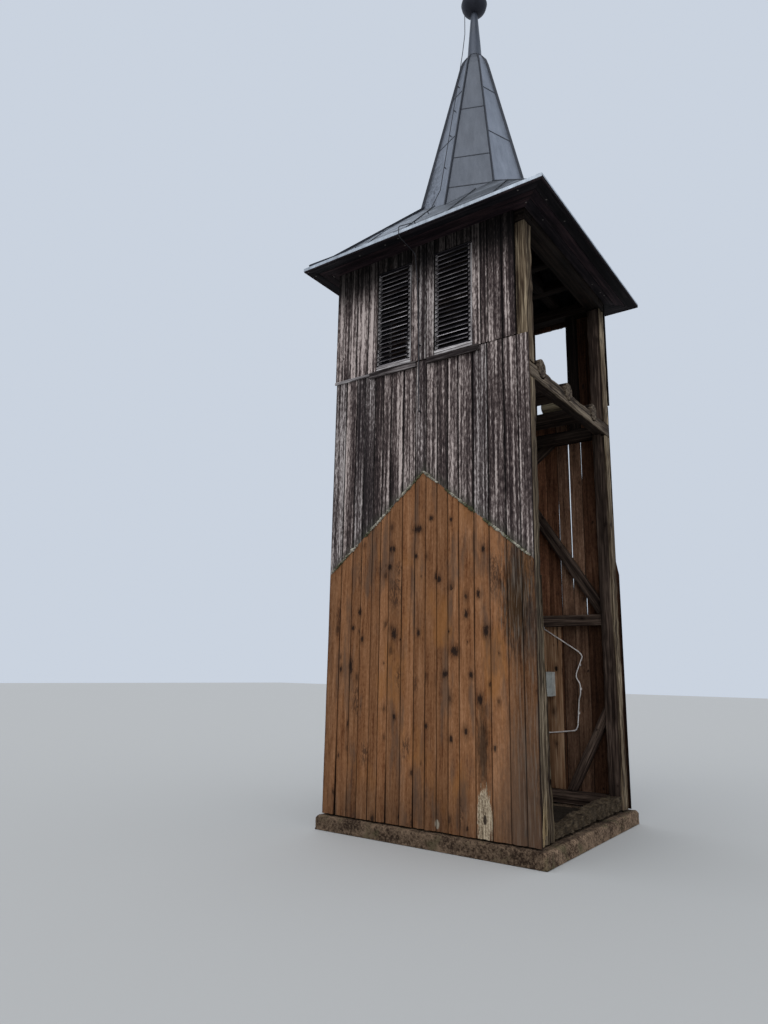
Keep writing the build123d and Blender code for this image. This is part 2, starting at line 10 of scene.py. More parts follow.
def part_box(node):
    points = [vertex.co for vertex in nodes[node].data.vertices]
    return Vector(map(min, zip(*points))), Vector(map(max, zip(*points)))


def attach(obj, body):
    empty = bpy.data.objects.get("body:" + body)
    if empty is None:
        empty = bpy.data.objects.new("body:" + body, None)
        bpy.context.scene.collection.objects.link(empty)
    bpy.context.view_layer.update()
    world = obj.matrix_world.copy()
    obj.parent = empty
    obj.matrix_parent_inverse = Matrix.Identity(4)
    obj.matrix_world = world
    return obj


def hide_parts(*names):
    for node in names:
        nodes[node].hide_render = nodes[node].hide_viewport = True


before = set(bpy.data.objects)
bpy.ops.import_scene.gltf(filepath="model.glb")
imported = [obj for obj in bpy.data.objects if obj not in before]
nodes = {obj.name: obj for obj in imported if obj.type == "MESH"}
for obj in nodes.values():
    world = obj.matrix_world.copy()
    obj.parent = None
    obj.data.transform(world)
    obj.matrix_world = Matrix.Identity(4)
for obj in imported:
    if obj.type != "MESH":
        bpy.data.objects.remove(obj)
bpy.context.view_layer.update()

# %% [markdown]
# # A timber bell tower
# The tower is a square timber frame with board walls, louvre windows, a flared metal roof and a tall
# eight-sided spire. Its construction comes from the frame: every beam and sheet has its place there.
# This lesson adds what weather and hands have done to it: single boards with open joints, hewn edges,
# flaking paint, knots, seams and dirt. Everything is in metres, with the ground at height zero.

# %% Names of the frame's pieces
print("pieces in the frame:", len(nodes))

# %% [markdown]
# ## Camera
# The picture is taken from eye height, close to the tower, with a wide lens that looks up. A camera is
# turned most safely by building its three axes: where it looks, what is right and what is up.

# %% Camera
camera_place = Vector((3.875, -7.272, 1.589))
camera_yaw = math.radians(35.815)       # from +Y towards -X
camera_pitch = math.radians(12.516)
camera_roll = math.radians(1.0757)

look = Vector((-math.sin(camera_yaw) * math.cos(camera_pitch),
               math.cos(camera_yaw) * math.cos(camera_pitch),
               math.sin(camera_pitch)))
level_right = Vector((math.cos(camera_yaw), math.sin(camera_yaw), 0))
level_up = level_right.cross(look)
right = math.cos(camera_roll) * level_right + math.sin(camera_roll) * level_up
up = -math.sin(camera_roll) * level_right + math.cos(camera_roll) * level_up
turn = Matrix((right, up, -look)).transposed()

camera = bpy.data.objects.new("camera", bpy.data.cameras.new("camera"))
camera.data.lens = 25.24
camera.data.sensor_width = 36
camera.matrix_world = Matrix.Translation(camera_place) @ turn.to_4x4()
bpy.context.scene.collection.objects.link(camera)
bpy.context.scene.camera = camera
print("camera looks along", tuple(round(value, 3) for value in look))

# %% [markdown]
# ## Light and ground
# An overcast sky lights a building from above more than from the side, so eaves throw soft shade on the
# boards below them. The world gets that gradient, and one wide sun lamp gives the faces some shape. What
# the camera and the metal see behind the tower is plain and pale, and does not add light.

# %% World light
scene = bpy.context.scene
scene.view_settings.view_transform = "Standard"
world = bpy.data.worlds.new("overcast")
scene.world = world
world.use_nodes = True
sky = world.node_tree
sky.nodes.clear()
backdrop_colour = (0.59, 0.65, 0.74, 1)

direction = sky.nodes.new("ShaderNodeTexCoord")
height = sky.nodes.new("ShaderNodeSeparateXYZ")
sky.links.new(direction.outputs["Generated"], height.inputs[0])
dome = sky.nodes.new("ShaderNodeValToRGB")
dome.color_ramp.elements[0].position = 0.0
dome.color_ramp.elements[0].color = (0.40, 0.43, 0.48, 1)
dome.color_ramp.elements[1].position = 0.9
dome.color_ramp.elements[1].color = (0.98, 1.03, 1.10, 1)
sky.links.new(height.outputs["Z"], dome.inputs[0])
lit = sky.nodes.new("ShaderNodeBackground")
sky.links.new(dome.outputs[0], lit.inputs["Color"])
seen = sky.nodes.new("ShaderNodeBackground")
seen.inputs["Color"].default_value = backdrop_colour

ray = sky.nodes.new("ShaderNodeLightPath")
seen_by = ray.outputs["Is Camera Ray"]
for kind in ("Is Glossy Ray", "Is Transmission Ray"):
    either = sky.nodes.new("ShaderNodeMath")
    either.operation = "MAXIMUM"
    sky.links.new(seen_by, either.inputs[0])
    sky.links.new(ray.outputs[kind], either.inputs[1])
    seen_by = either.outputs[0]
choose = sky.nodes.new("ShaderNodeMixShader")
sky.links.new(seen_by, choose.inputs[0])
sky.links.new(lit.outputs[0], choose.inputs[1])
sky.links.new(seen.outputs[0], choose.inputs[2])
world_out = sky.nodes.new("ShaderNodeOutputWorld")
sky.links.new(choose.outputs[0], world_out.inputs[0])

lamp = bpy.data.objects.new("soft_sun", bpy.data.lights.new("soft_sun", "SUN"))
lamp.data.energy = 0.85
lamp.data.angle = math.radians(60)
lamp_from = Vector((0.12, -0.78, 0.75))
lamp.rotation_mode = "QUATERNION"
lamp.rotation_quaternion = lamp_from.to_track_quat("Z", "Y")
scene.collection.objects.link(lamp)
print("light comes from", tuple(lamp_from))

# %% Floor
floor_reach = 60
floor_shape = bmesh.new()
bmesh.ops.create_grid(floor_shape, x_segments=1, y_segments=1, size=floor_reach)
floor_mesh = bpy.data.meshes.new("floor")
floor_shape.to_mesh(floor_mesh)
floor_shape.free()
floor = bpy.data.objects.new("floor", floor_mesh)
scene.collection.objects.link(floor)
floor_finish = bpy.data.materials.new("pale_floor")
floor_finish.use_nodes = True
floor_shader = floor_finish.node_tree.nodes["Principled BSDF"]
floor_shader.inputs["Base Color"].default_value = (0.46, 0.46, 0.45, 1)
floor_shader.inputs["Roughness"].default_value = 0.9
floor_mesh.materials.append(floor_finish)
print("floor is", 2 * floor_reach, "m wide")

# %% [markdown]
# ## A small kit for finishes
# A material is a chain of nodes. Writing each node out in full hides the idea, so a few helpers with
# plain names add a node, wire its inputs and hand back its output.


# %% Helpers for finishes
def new_finish(name, roughness=0.8, metal=0.0):
    material = bpy.data.materials.new(name)
    material.use_nodes = True
    shader = material.node_tree.nodes["Principled BSDF"]
    shader.inputs["Roughness"].default_value = roughness
    shader.inputs["Metallic"].default_value = metal
    shader.inputs["Specular IOR Level"].default_value = 0.5 if metal else 0.10     # dry wood hardly shines
    return material, material.node_tree, shader


def feed(tree, socket, value):
    """Wire a socket to another node's output, or set it to a plain value."""
    if isinstance(value, bpy.types.NodeSocket):
        tree.links.new(value, socket)
    else:
        socket.default_value = value


def place_of(tree):
    """Where the point is on the tower, in metres."""
    return tree.nodes.new("ShaderNodeTexCoord").outputs["Object"]


def stored(tree, name, output="Fac"):
    """A value that was stored on the piece's own vertices."""
    node = tree.nodes.new("ShaderNodeAttribute")
    node.attribute_name = name
    return node.outputs[output]


def grain_and_tone(tree):
    """What every timber stores: its own coordinates, and a number between nothing and one."""
    return stored(tree, "grain", "Vector"), stored(tree, "tone")


# %% Noise and cells
def stretch(tree, vector, scale, shift=(0, 0, 0)):
    node = tree.nodes.new("ShaderNodeMapping")
    feed(tree, node.inputs["Vector"], vector)
    node.inputs["Scale"].default_value = scale
    node.inputs["Location"].default_value = shift
    return node.outputs[0]


def grainy(tree, vector, scale=1.0, detail=3.0, roughness=0.55, distortion=0.0, shift=(0, 0, 0)):
    """Soft noise. A scale of three numbers stretches it along each axis."""
    if isinstance(scale, tuple):
        vector = stretch(tree, vector, scale, shift)
        scale = 1.0
    node = tree.nodes.new("ShaderNodeTexNoise")
    feed(tree, node.inputs["Vector"], vector)
    node.inputs["Scale"].default_value = scale
    node.inputs["Detail"].default_value = detail
    node.inputs["Roughness"].default_value = roughness
    node.inputs["Distortion"].default_value = distortion
    return node.outputs[0]


def cells(tree, vector, scale=1.0):
    node = tree.nodes.new("ShaderNodeTexVoronoi")
    node.voronoi_dimensions = "2D"
    feed(tree, node.inputs["Vector"], vector)
    node.inputs["Scale"].default_value = scale
    return node.outputs["Distance"], node.outputs["Color"]


# %% Sums of values
def sums(tree, operation, first, second=0.0):
    """Any sum of two values, by the name that Blender gives it."""
    node = tree.nodes.new("ShaderNodeMath")
    node.operation = operation
    feed(tree, node.inputs[0], first)
    feed(tree, node.inputs[1], second)
    return node.outputs[0]


def plus(tree, first, second):
    return sums(tree, "ADD", first, second)


def times(tree, first, second):
    return sums(tree, "MULTIPLY", first, second)


def larger(tree, first, second):
    return sums(tree, "MAXIMUM", first, second)


def swing(tree, value, strength):
    """A value that swings about a half, made to swing about nothing."""
    return times(tree, sums(tree, "SUBTRACT", value, 0.5), strength)


def between(tree, value, low, high, to_low=0.0, to_high=1.0):
    """A soft step: to_low below low, to_high above high."""
    node = tree.nodes.new("ShaderNodeMapRange")
    node.interpolation_type = "SMOOTHSTEP"
    feed(tree, node.inputs["Value"], value)
    node.inputs["From Min"].default_value = low
    node.inputs["From Max"].default_value = high
    node.inputs["To Min"].default_value = to_low
    node.inputs["To Max"].default_value = to_high
    return node.outputs[0]


# %% Colours and relief
def mixed(tree, share, first, second, mode="MIX"):
    node = tree.nodes.new("ShaderNodeMix")
    node.data_type = "RGBA"
    node.blend_type = mode
    feed(tree, node.inputs[0], share)
    feed(tree, node.inputs[6], first)
    feed(tree, node.inputs[7], second)
    return node.outputs[2]


def dimmed(tree, colour, factor):
    """A colour made darker or lighter by a grey value."""
    return mixed(tree, 1.0, colour, factor, "MULTIPLY")


def shades(tree, value, stops, steps=False):
    """Colours along a value, as (position, colour) pairs."""
    node = tree.nodes.new("ShaderNodeValToRGB")
    feed(tree, node.inputs[0], value)
    ladder = node.color_ramp.elements
    while len(ladder) < len(stops):
        ladder.new(1.0)
    for rung, (position, colour) in zip(ladder, stops):
        rung.position = position
        rung.color = (*colour, 1)
    if steps:
        node.color_ramp.interpolation = "CONSTANT"
    return node.outputs[0]


def parts_of(tree, vector):
    node = tree.nodes.new("ShaderNodeSeparateXYZ")
    feed(tree, node.inputs[0], vector)
    return node.outputs


def joined(tree, x, y, z=0.0):
    node = tree.nodes.new("ShaderNodeCombineXYZ")
    for socket, value in zip(node.inputs, (x, y, z)):
        feed(tree, socket, value)
    return node.outputs[0]


def relief(tree, shader, height, depth):
    """Turn a height into bumps that are depth metres deep."""
    node = tree.nodes.new("ShaderNodeBump")
    node.inputs["Distance"].default_value = depth
    feed(tree, node.inputs["Height"], height)
    tree.links.new(node.outputs[0], shader.inputs["Normal"])


# %% [markdown]
# ## Wood
# Old softwood has fine fibres along its length, broader bands, and dark knots. Where rain and sun reach
# it the brown is washed out to grey, and the last of an old pale paint stays in streaks and flakes.
# Every timber stores its own coordinates, called grain: across, along and through, so that the pattern
# follows a brace as well as a post. It stores a tone of its own too, because no two boards have the same
# colour. The pattern is a sum of noises, each stretched along the grain. When their weights add up to
# one, the sum stays round a half, and a ladder of colours turns it into wood.

# %% Shades of wood
warm_shades = [(0.41, (0.110, 0.040, 0.015)), (0.46, (0.185, 0.079, 0.033)),
               (0.53, (0.252, 0.116, 0.052)), (0.60, (0.330, 0.165, 0.082))]
grey_shades = [(0.43, (0.020, 0.014, 0.014)), (0.47, (0.053, 0.038, 0.036)),
               (0.50, (0.101, 0.076, 0.071)), (0.53, (0.228, 0.184, 0.170)),
               (0.57, (0.540, 0.455, 0.420))]
inside_shades = [(0.38, (0.034, 0.017, 0.011)), (0.47, (0.098, 0.052, 0.032)),
                 (0.54, (0.160, 0.090, 0.056)), (0.62, (0.270, 0.165, 0.110))]
frame_inner_shades = [(0.40, (0.016, 0.010, 0.008)), (0.50, (0.058, 0.039, 0.030)),
                      (0.61, (0.170, 0.120, 0.092))]
frame_outer_shades = [(0.41, (0.022, 0.013, 0.008)), (0.47, (0.080, 0.055, 0.034)),
                      (0.53, (0.178, 0.134, 0.086)), (0.60, (0.400, 0.318, 0.215))]
belt_outer_shades = [(0.40, (0.022, 0.015, 0.010)), (0.50, (0.098, 0.072, 0.052)),
                     (0.60, (0.270, 0.215, 0.155))]
plank_shades = [(0.40, (0.170, 0.084, 0.040)), (0.50, (0.310, 0.170, 0.092)),
                (0.60, (0.480, 0.310, 0.190))]
# near black wood of the eaves, the roof's underside and the slats: dark wood whose colour also paints shade
painted_shade_dark_wood = [(0.40, (0.002, 0.002, 0.003)), (0.50, (0.008, 0.007, 0.009)),
                (0.60, (0.024, 0.020, 0.022))]
knot_brown = (0.014, 0.008, 0.006, 1)
print("warm boards have", len(warm_shades), "shades")

# %% Patterns of wood
# each layer has its scale across, along and through a timber, its weight and its detail
warm_layers = [((22, 0.7, 22), 0.28, 3), ((62, 2.6, 62), 0.30, 4), ((6, 1.3, 6), 0.20, 3),
               ((60, 24, 60), 0.22, 3)]
grey_layers = [((40, 0.45, 40), 0.42, 4), ((82, 17.0, 82), 0.28, 3), ((12, 0.5, 12), 0.30, 3)]
frame_layers = [((30, 0.8, 30), 0.42, 3), ((70, 3.0, 70), 0.36, 3), ((7, 1.5, 7), 0.22, 3)]


def layered(tree, grain, layers, wavy=0.25):
    """The weighted sum of the layers, and the layers one by one."""
    total = 0.0
    made = []
    for scale, weight, detail in layers:
        layer = grainy(tree, grain, scale, detail, 0.64, wavy)
        made.append(layer)
        total = plus(tree, times(tree, layer, weight), total)
    return total, made


def knots_in(tree, grain, chosen=0.60, pitch=(7.2, 3.9)):
    """Dark ragged ovals and their soft rings, in some of the cells of a stretched pattern."""
    across, along, through = parts_of(tree, grain)
    flat = joined(tree, plus(tree, across, through), along)
    sideways = times(tree, grainy(tree, grain, (34, 16, 34), 4, 0.7), 0.34)
    lengthwise = times(tree, grainy(tree, grain, (22, 9, 22), shift=(7, 1, 3)), 0.30)
    bent = tree.nodes.new("ShaderNodeVectorMath")
    bent.operation = "ADD"
    feed(tree, bent.inputs[0], stretch(tree, flat, (*pitch, 0)))
    feed(tree, bent.inputs[1], joined(tree, sideways, lengthwise))
    distance, colour = cells(tree, bent.outputs[0])
    chance, share, strength = parts_of(tree, colour)
    lucky = between(tree, chance, chosen, chosen + 0.02)
    ratio = sums(tree, "DIVIDE", distance, between(tree, share, 0.0, 1.0, 0.035, 0.135))
    core = between(tree, ratio, 0.60, 1.25, 1.0, 0.0)
    core = times(tree, core, between(tree, strength, 0.1, 0.9, 0.45, 1.0))
    halo = between(tree, ratio, 0.90, 3.4, 1.0, 0.0)
    return times(tree, core, lucky), times(tree, halo, lucky)


def cracks_in(tree, grain):
    """Long drying cracks."""
    lines = grainy(tree, grain, (34, 0.7, 34), 2, 0.5, 0.3)
    return between(tree, lines, 0.60, 0.66)


def joint_shade(tree, least=0.40, most=0.85, width=0.13):
    """Dirt sits in the joints, so a board is darker along its two edges, here more and there less."""
    along = grainy(tree, stored(tree, "grain", "Vector"), (0.5, 0.9, 0.5), 2)
    dirt = between(tree, along, 0.42, 0.58, least, most)
    edge = between(tree, stored(tree, "rim"), 1.0 - width, 1.0)
    return sums(tree, "SUBTRACT", 1.0, times(tree, edge, dirt))


# %% [markdown]
# ### Weathered paint
# The walls were painted once. The bare wood has turned a dark purple brown, and the last paint stands on
# its fibres in pale flakes. The ladder of colours climbs steeply from dark to pale, so that the flakes
# have clear edges. Every board shifts along the ladder by its tone, and some boards are cooler.

# %% Weathered paint
def reshuffled(tree, tone, factor):
    """A second number between nothing and one for each board, made from its tone."""
    return sums(tree, "FRACT", times(tree, tone, factor))


def weathered(tree, grain, tone, extra=0.0):
    """The colour of weathered paint, and the layers of its pattern."""
    value, layers = layered(tree, grain, grey_layers, wavy=0.0)
    value = plus(tree, plus(tree, value, swing(tree, tone, 0.045)), extra)
    colour = shades(tree, value, grey_shades)
    cool = between(tree, reshuffled(tree, tone, 7.3), 0.60, 0.90, 0.0, 0.40)
    colour = mixed(tree, cool, colour, (0.78, 0.92, 1.0, 1), "MULTIPLY")
    return dimmed(tree, colour, joint_shade(tree, 0.70, 0.95, 0.17)), layers


# %% [markdown]
# ### Timbers
# The frame's wood is weathered pale outside and brown inside, and these colours also paint light on the
# outside and shade inside. One finish serves both: it asks how far a point lies from the tower's middle.
# A brightness by height paints the deep shade under the roof and in the belfry, and makes the posts
# lighter or darker in bands lower down.

# %% Finish of frame timbers and planks
top_height = 11     # a little over the tower's top


def timber_finish(name, colours, lit_outer_colours=None, depth=0.0016, knots=0.72, heights=None):
    """Hewn wood, with other colours on the outside, partly painted light. heights are (height, brightness)
    pairs.
    """
    material, tree, shader = new_finish(name, 0.85)
    grain, tone = grain_and_tone(tree)
    x, y, z = parts_of(tree, place_of(tree))
    value, layers = layered(tree, grain, frame_layers)
    colour = shades(tree, value, colours)
    # the outer colours are weathered wood and painted light, the inner ones brown wood and painted shade
    if lit_outer_colours:
        outside = larger(tree, sums(tree, "ABSOLUTE", x), sums(tree, "ABSOLUTE", y))
        ragged = plus(tree, outside, swing(tree, layers[0], 0.06))
        colour = mixed(tree, between(tree, ragged, 1.150, 1.178), colour, shades(tree, value, lit_outer_colours))
    # a brightness by height: painted shade under the roof and in the belfry, and bands lower down
    if heights:
        stops = [(height_there / top_height, (bright, bright, bright)) for height_there, bright in heights]
        colour = dimmed(tree, colour, shades(tree, sums(tree, "DIVIDE", z, top_height), stops))
    colour = dimmed(tree, colour, between(tree, tone, 0.0, 1.0, 0.80, 1.20))
    core, halo = knots_in(tree, grain, knots)
    colour = mixed(tree, times(tree, halo, 0.40), colour, knot_brown)
    colour = mixed(tree, core, colour, knot_brown)
    cracks = cracks_in(tree, grain)
    colour = mixed(tree, times(tree, cracks, 0.8), colour, knot_brown)
    feed(tree, shader.inputs["Base Color"], dimmed(tree, colour, joint_shade(tree)))
    surface = plus(tree, sums(tree, "SUBTRACT", layers[1], cracks), layers[0])
    relief(tree, shader, surface, depth)
    return material


def brighter(colours, factor):
    """The same shades, all brighter or darker by a factor."""
    return [(position, tuple(factor * value for value in colour)) for position, colour in colours]


# brightness by height: painted shade under the roof and in the belfry, lighter or darker bands lower down
near_heights = [(0.0, 0.85), (1.4, 0.80), (2.2, 0.55), (3.6, 0.60), (4.2, 0.95), (5.7, 1.00), (6.15, 0.45)]
far_heights = [(0.0, 1.20), (2.6, 0.85), (4.3, 0.85), (4.9, 1.20), (5.8, 1.20), (6.15, 0.40)]
inner_heights = [(0.0, 1.1), (4.30, 1.1), (4.50, 0.35), (4.75, 0.20), (6.1, 0.14), (11.0, 0.10)]
near_post_finish = timber_finish("near_post_wood", frame_inner_shades, frame_outer_shades,
                                 heights=near_heights)
# the far post's inner faces are a little darker, as painted shade
far_post_finish = timber_finish("far_post_wood", brighter(frame_inner_shades, 0.8), frame_outer_shades,
                                heights=far_heights)
inner_frame_finish = timber_finish("inner_frame_wood", frame_inner_shades, heights=inner_heights)
# the belt's inner faces are 0.35 as bright as the frame's: painted shade inside the tower
belt_finish = timber_finish("belt_wood", brighter(frame_inner_shades, 0.35), belt_outer_shades, knots=0.60)
plank_finish = timber_finish("plank_wood", plank_shades, knots=0.55)
print("frame wood finishes:", near_post_finish.name, far_post_finish.name, belt_finish.name)

# %% [markdown]
# ## Boards
# A board wall is not a slab: each board is a little wider or narrower than the next, its edges wander,
# its end is ragged, and there is an open joint beside it. A cube is stretched to each board's limits,
# its long edges are beveled, and cuts along and across give it points to sway.


# %% Storing the grain
def new_piece():
    piece = bmesh.new()
    piece.verts.layers.float_vector.new("grain")
    for name in ("tone", "outer", "rim"):
        piece.verts.layers.float.new(name)
    piece.verts.layers.int.new("settled")
    return piece


def fresh_part(piece):
    """The vertices that were added since the last timber was settled."""
    settled = piece.verts.layers.int["settled"]
    return [vertex for vertex in piece.verts if not vertex[settled]]


def own_axes(vertices):
    """A timber's points about their middle, the middle, and its own directions, the shortest first."""
    points = np.array([vertex.co for vertex in vertices])
    middle = points.mean(axis=0)
    spread, axes = np.linalg.eigh(np.cov((points - middle).T))
    return points - middle, middle, axes


def store_grain(piece, fresh, dice, tone=None, upright=False):
    """Give one timber's vertices their own coordinates. The length of an upright board runs along Z."""
    points, middle, axes = own_axes(fresh)
    local = points[:, [0, 2, 1]] if upright else points @ axes[:, [1, 2, 0]]
    shift = np.array([dice.uniform(0, 9), dice.uniform(0, 40), dice.uniform(0, 9)])
    own_tone = dice.random() if tone is None else tone
    grain = piece.verts.layers.float_vector["grain"]
    tones = piece.verts.layers.float["tone"]
    settled = piece.verts.layers.int["settled"]
    for vertex, coordinates in zip(fresh, local + shift):
        vertex[grain] = Vector(coordinates)
        vertex[tones] = own_tone
        vertex[settled] = 1


def finish_piece(piece, name, finishes, replaced=(), smooth_angle=32):
    """Make an object of the piece, seat it on the tower and hide the frame's pieces that it replaces."""
    piece.verts.layers.int.remove(piece.verts.layers.int["settled"])
    mesh = bpy.data.meshes.new(name)
    piece.to_mesh(mesh)
    piece.free()
    for finish in finishes:
        mesh.materials.append(finish)
    mesh.shade_smooth()
    mesh.set_sharp_from_angle(angle=math.radians(smooth_angle))
    made = bpy.data.objects.new(name, mesh)
    scene.collection.objects.link(made)
    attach(made, "root")
    if replaced:
        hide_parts(*replaced)
    print(name, "has", len(mesh.polygons), "faces")
    return made


# %% Copies of the frame's timbers
def copy_of(*names):
    """The frame's pieces as closed shapes with flat faces."""
    piece = new_piece()
    for name in names:
        piece.from_mesh(nodes[name].data)
    bmesh.ops.remove_doubles(piece, verts=piece.verts, dist=1e-5)
    bmesh.ops.dissolve_limit(piece, angle_limit=math.radians(1), verts=piece.verts, edges=piece.edges)
    return piece


def islands(piece):
    """The separate timbers of a piece, each as a list of vertices."""
    left = set(piece.verts)
    found = []
    while left:
        start = left.pop()
        group = {start}
        waiting = [start]
        while waiting:
            vertex = waiting.pop()
            for edge in vertex.link_edges:
                other = edge.other_vert(vertex)
                if other in left:
                    left.discard(other)
                    group.add(other)
                    waiting.append(other)
        found.append(sorted(group, key=lambda vertex: vertex.index))
    return sorted(found, key=lambda group: group[0].index)


# %% Cutting and easing
def geometry_of(points):
    """The points, with the faces that meet them and those faces' edges."""
    faces = {face for vertex in points for face in vertex.link_faces}
    edges = {edge for face in faces for edge in face.edges}
    return [*points, *edges, *faces]


def edges_of(points):
    return {edge for vertex in points for edge in vertex.link_edges}


def ease(piece, edges, width, segments=1, clamp=False):
    """Bevel edges, as a plane or years of wear would."""
    bmesh.ops.bevel(piece, geom=list(edges), offset=width, segments=segments, profile=0.5, affect="EDGES",
                    clamp_overlap=clamp, material=-1)


def quarter_turn(quarter):
    """A turn about the mast that brings the front to one of the four sides."""
    return Matrix.Rotation(math.radians(90 * quarter), 3, "Z")


def split_large_faces(piece):
    """Triangles in place of faces with more than four corners, which shade badly."""
    bmesh.ops.triangulate(piece, faces=[face for face in piece.faces if len(face.verts) > 4])


# %% One board
edge_round = 0.003
warp_depth = 0.0026


def add_box(piece, x, y, z):
    """A box between two limits along each axis."""
    low = Vector((x[0], y[0], z[0]))
    high = Vector((x[1], y[1], z[1]))
    size = Matrix.Diagonal((*(high - low), 1))
    return bmesh.ops.create_cube(piece, size=1, matrix=Matrix.Translation((low + high) / 2) @ size)


def cut_along(piece, axis, places):
    """Cut the fresh part by planes across one axis, given by its number."""
    normal = Vector([1 if number == axis else 0 for number in range(3)])
    for place in places:
        bmesh.ops.bisect_plane(piece, geom=geometry_of(fresh_part(piece)), dist=1e-5,
                               plane_co=normal * place, plane_no=normal)


def add_board(piece, x, y, z, dice, ragged_foot=0.0, ragged_head=0.0, step=0.16, sway=0.0026, gap=None,
              across_cuts=4, worn=None):
    """One upright board of the front, between its limits. y is (outer face, inner face)."""
    add_box(piece, x, y, z)
    long_edges = [edge for edge in edges_of(fresh_part(piece))
                  if abs((edge.verts[0].co - edge.verts[1].co).z) > 1e-4]
    ease(piece, long_edges, edge_round)
    count = max(2, round((z[1] - z[0]) / step))
    cut_along(piece, 2, [z[0] + (z[1] - z[0]) * number / count for number in range(1, count)])
    cut_along(piece, 0, [x[0] + (x[1] - x[0]) * number / across_cuts for number in range(1, across_cuts)])
    seed = dice.uniform(0, 100)
    middle = (x[0] + x[1]) / 2
    outer = piece.verts.layers.float["outer"]
    rim = piece.verts.layers.float["rim"]
    fresh = fresh_part(piece)
    for vertex in fresh:
        co = vertex.co
        vertex[outer] = 1.0 if abs(co.y - y[0]) < abs(co.y - y[1]) else 0.0
        side = 1 if co.x > middle else -1
        share = abs(co.x - middle) / (x[1] - middle)
        vertex[rim] = share
        if co.z < z[0] + 1e-4:
            lift = 0.5 + 0.5 * noise.noise(Vector((co.x * 55, seed, 0)))
            co.z += ragged_foot * lift
        if co.z > z[1] - 1e-4:
            lift = 0.5 + 0.5 * noise.noise(Vector((co.x * 55, seed, 7)))
            co.z -= ragged_head * lift
        wander = noise.noise(Vector((seed, side * 5, co.z * 2.3)))
        pull = sway * (0.6 + 0.6 * wander) * vertex[outer]      # joints are open outside and shut inside
        if gap:
            pull += gap(side, co.z)
        if worn and co.y < (y[0] + y[1]) / 2:
            co.y += worn(co)
        co.x -= side * share * pull
        warp = noise.noise(Vector((seed, 31, co.z * 0.8)))
        cup = noise.noise(Vector((seed, 57, 0))) * (share ** 2 - 0.5)
        depth = warp_depth * (warp + cup)
        co.y += max(depth, 0) if co.y < (y[0] + y[1]) / 2 else min(depth, 0)
    return fresh


# %% [markdown]
# ### Front wall, lower boards
# Seventeen boards run up the front. A small porch once stood here: below the line of its roof the wood
# is still warm brown, and above it the same boards have weathered to grey. One board has rotted at its
# foot, and its surface is eaten away there, so that board is cut finer and its face is pushed in.

# %% Front lower boards
front_low, front_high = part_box("front_wall_lower")
front_joints = (front_low.x, -1.050, -0.900, -0.780, -0.640, -0.530, -0.420, -0.255, -0.100, 0.030, 0.162,
                0.290, 0.412, 0.582, 0.747, 0.927, 1.076, front_high.x)
wide_joints = {1: (0.010, 0.9), 6: (0.006, 0.8), 8: (0.004, 0.6)}     # widest at the foot, and up to here
porch_apex = 3.617
porch_slope = 0.831
rot_middle = Vector((0.664, 0, 0.34))
rot_half = Vector((0.078, 0, 0.25))
rotten_board = 13
corner_tone = 0.45      # the last board, at the open corner, has a set tone


def front_gap(number):
    """The extra width of the joints on both sides of one board."""
    def width(side, height):
        joint = number + 1 if side > 0 else number
        if joint not in wide_joints:
            return 0.0
        widest, reach = wide_joints[joint]
        above = height - front_low.z
        return widest * max(0.0, 1 - above / reach)
    return width


def rotted(co):
    """How far the rotten board's face is eaten away at a point."""
    reach = Vector(((co.x - rot_middle.x) / rot_half.x, (co.z - rot_middle.z) / rot_half.z)).length
    bite = 0.5 + 0.5 * noise.noise(Vector((co.x * 90, 3, co.z * 16)))
    return 0.012 * bite * max(0.0, min(1.0, 2.2 * (1.1 - reach)))


dice = random.Random(7)
front_lower = new_piece()
for number, (left, right_edge) in enumerate(zip(front_joints, front_joints[1:])):
    rotten = number == rotten_board - 1
    fresh = add_board(front_lower, (left, right_edge), (front_low.y, front_high.y),
                      (front_low.z, front_high.z), dice, ragged_foot=0.014, gap=front_gap(number),
                      step=0.03 if rotten else 0.16, across_cuts=14 if rotten else 4,
                      worn=rotted if rotten else None)
    store_grain(front_lower, fresh, dice, tone=corner_tone if right_edge == front_high.x else None,
                upright=True)
print("front boards:", len(front_joints) - 1)


# %% Patches on the front
def from_middle(tree, place, x, z, half_width, half_height):
    """How far a point of the front is from a patch's middle, as a share of its half sizes."""
    length = tree.nodes.new("ShaderNodeVectorMath")
    length.operation = "LENGTH"
    feed(tree, length.inputs[0], stretch(tree, place, (1 / half_width, 0, 1 / half_height),
                                         (-x / half_width, 0, -z / half_height)))
    return length.outputs["Value"]


def spot(tree, place, x, z, half_width, half_height, ragged=0.35, soft=0.5):
    """A ragged patch on the front, from its middle and its half sizes."""
    rough = grainy(tree, place, (52, 0, 9), 4, 0.7)
    middle = from_middle(tree, place, x, z, half_width, half_height)
    return between(tree, plus(tree, middle, swing(tree, rough, 2 * ragged)), 1.0 - soft, 1.05, 1.0, 0.0)


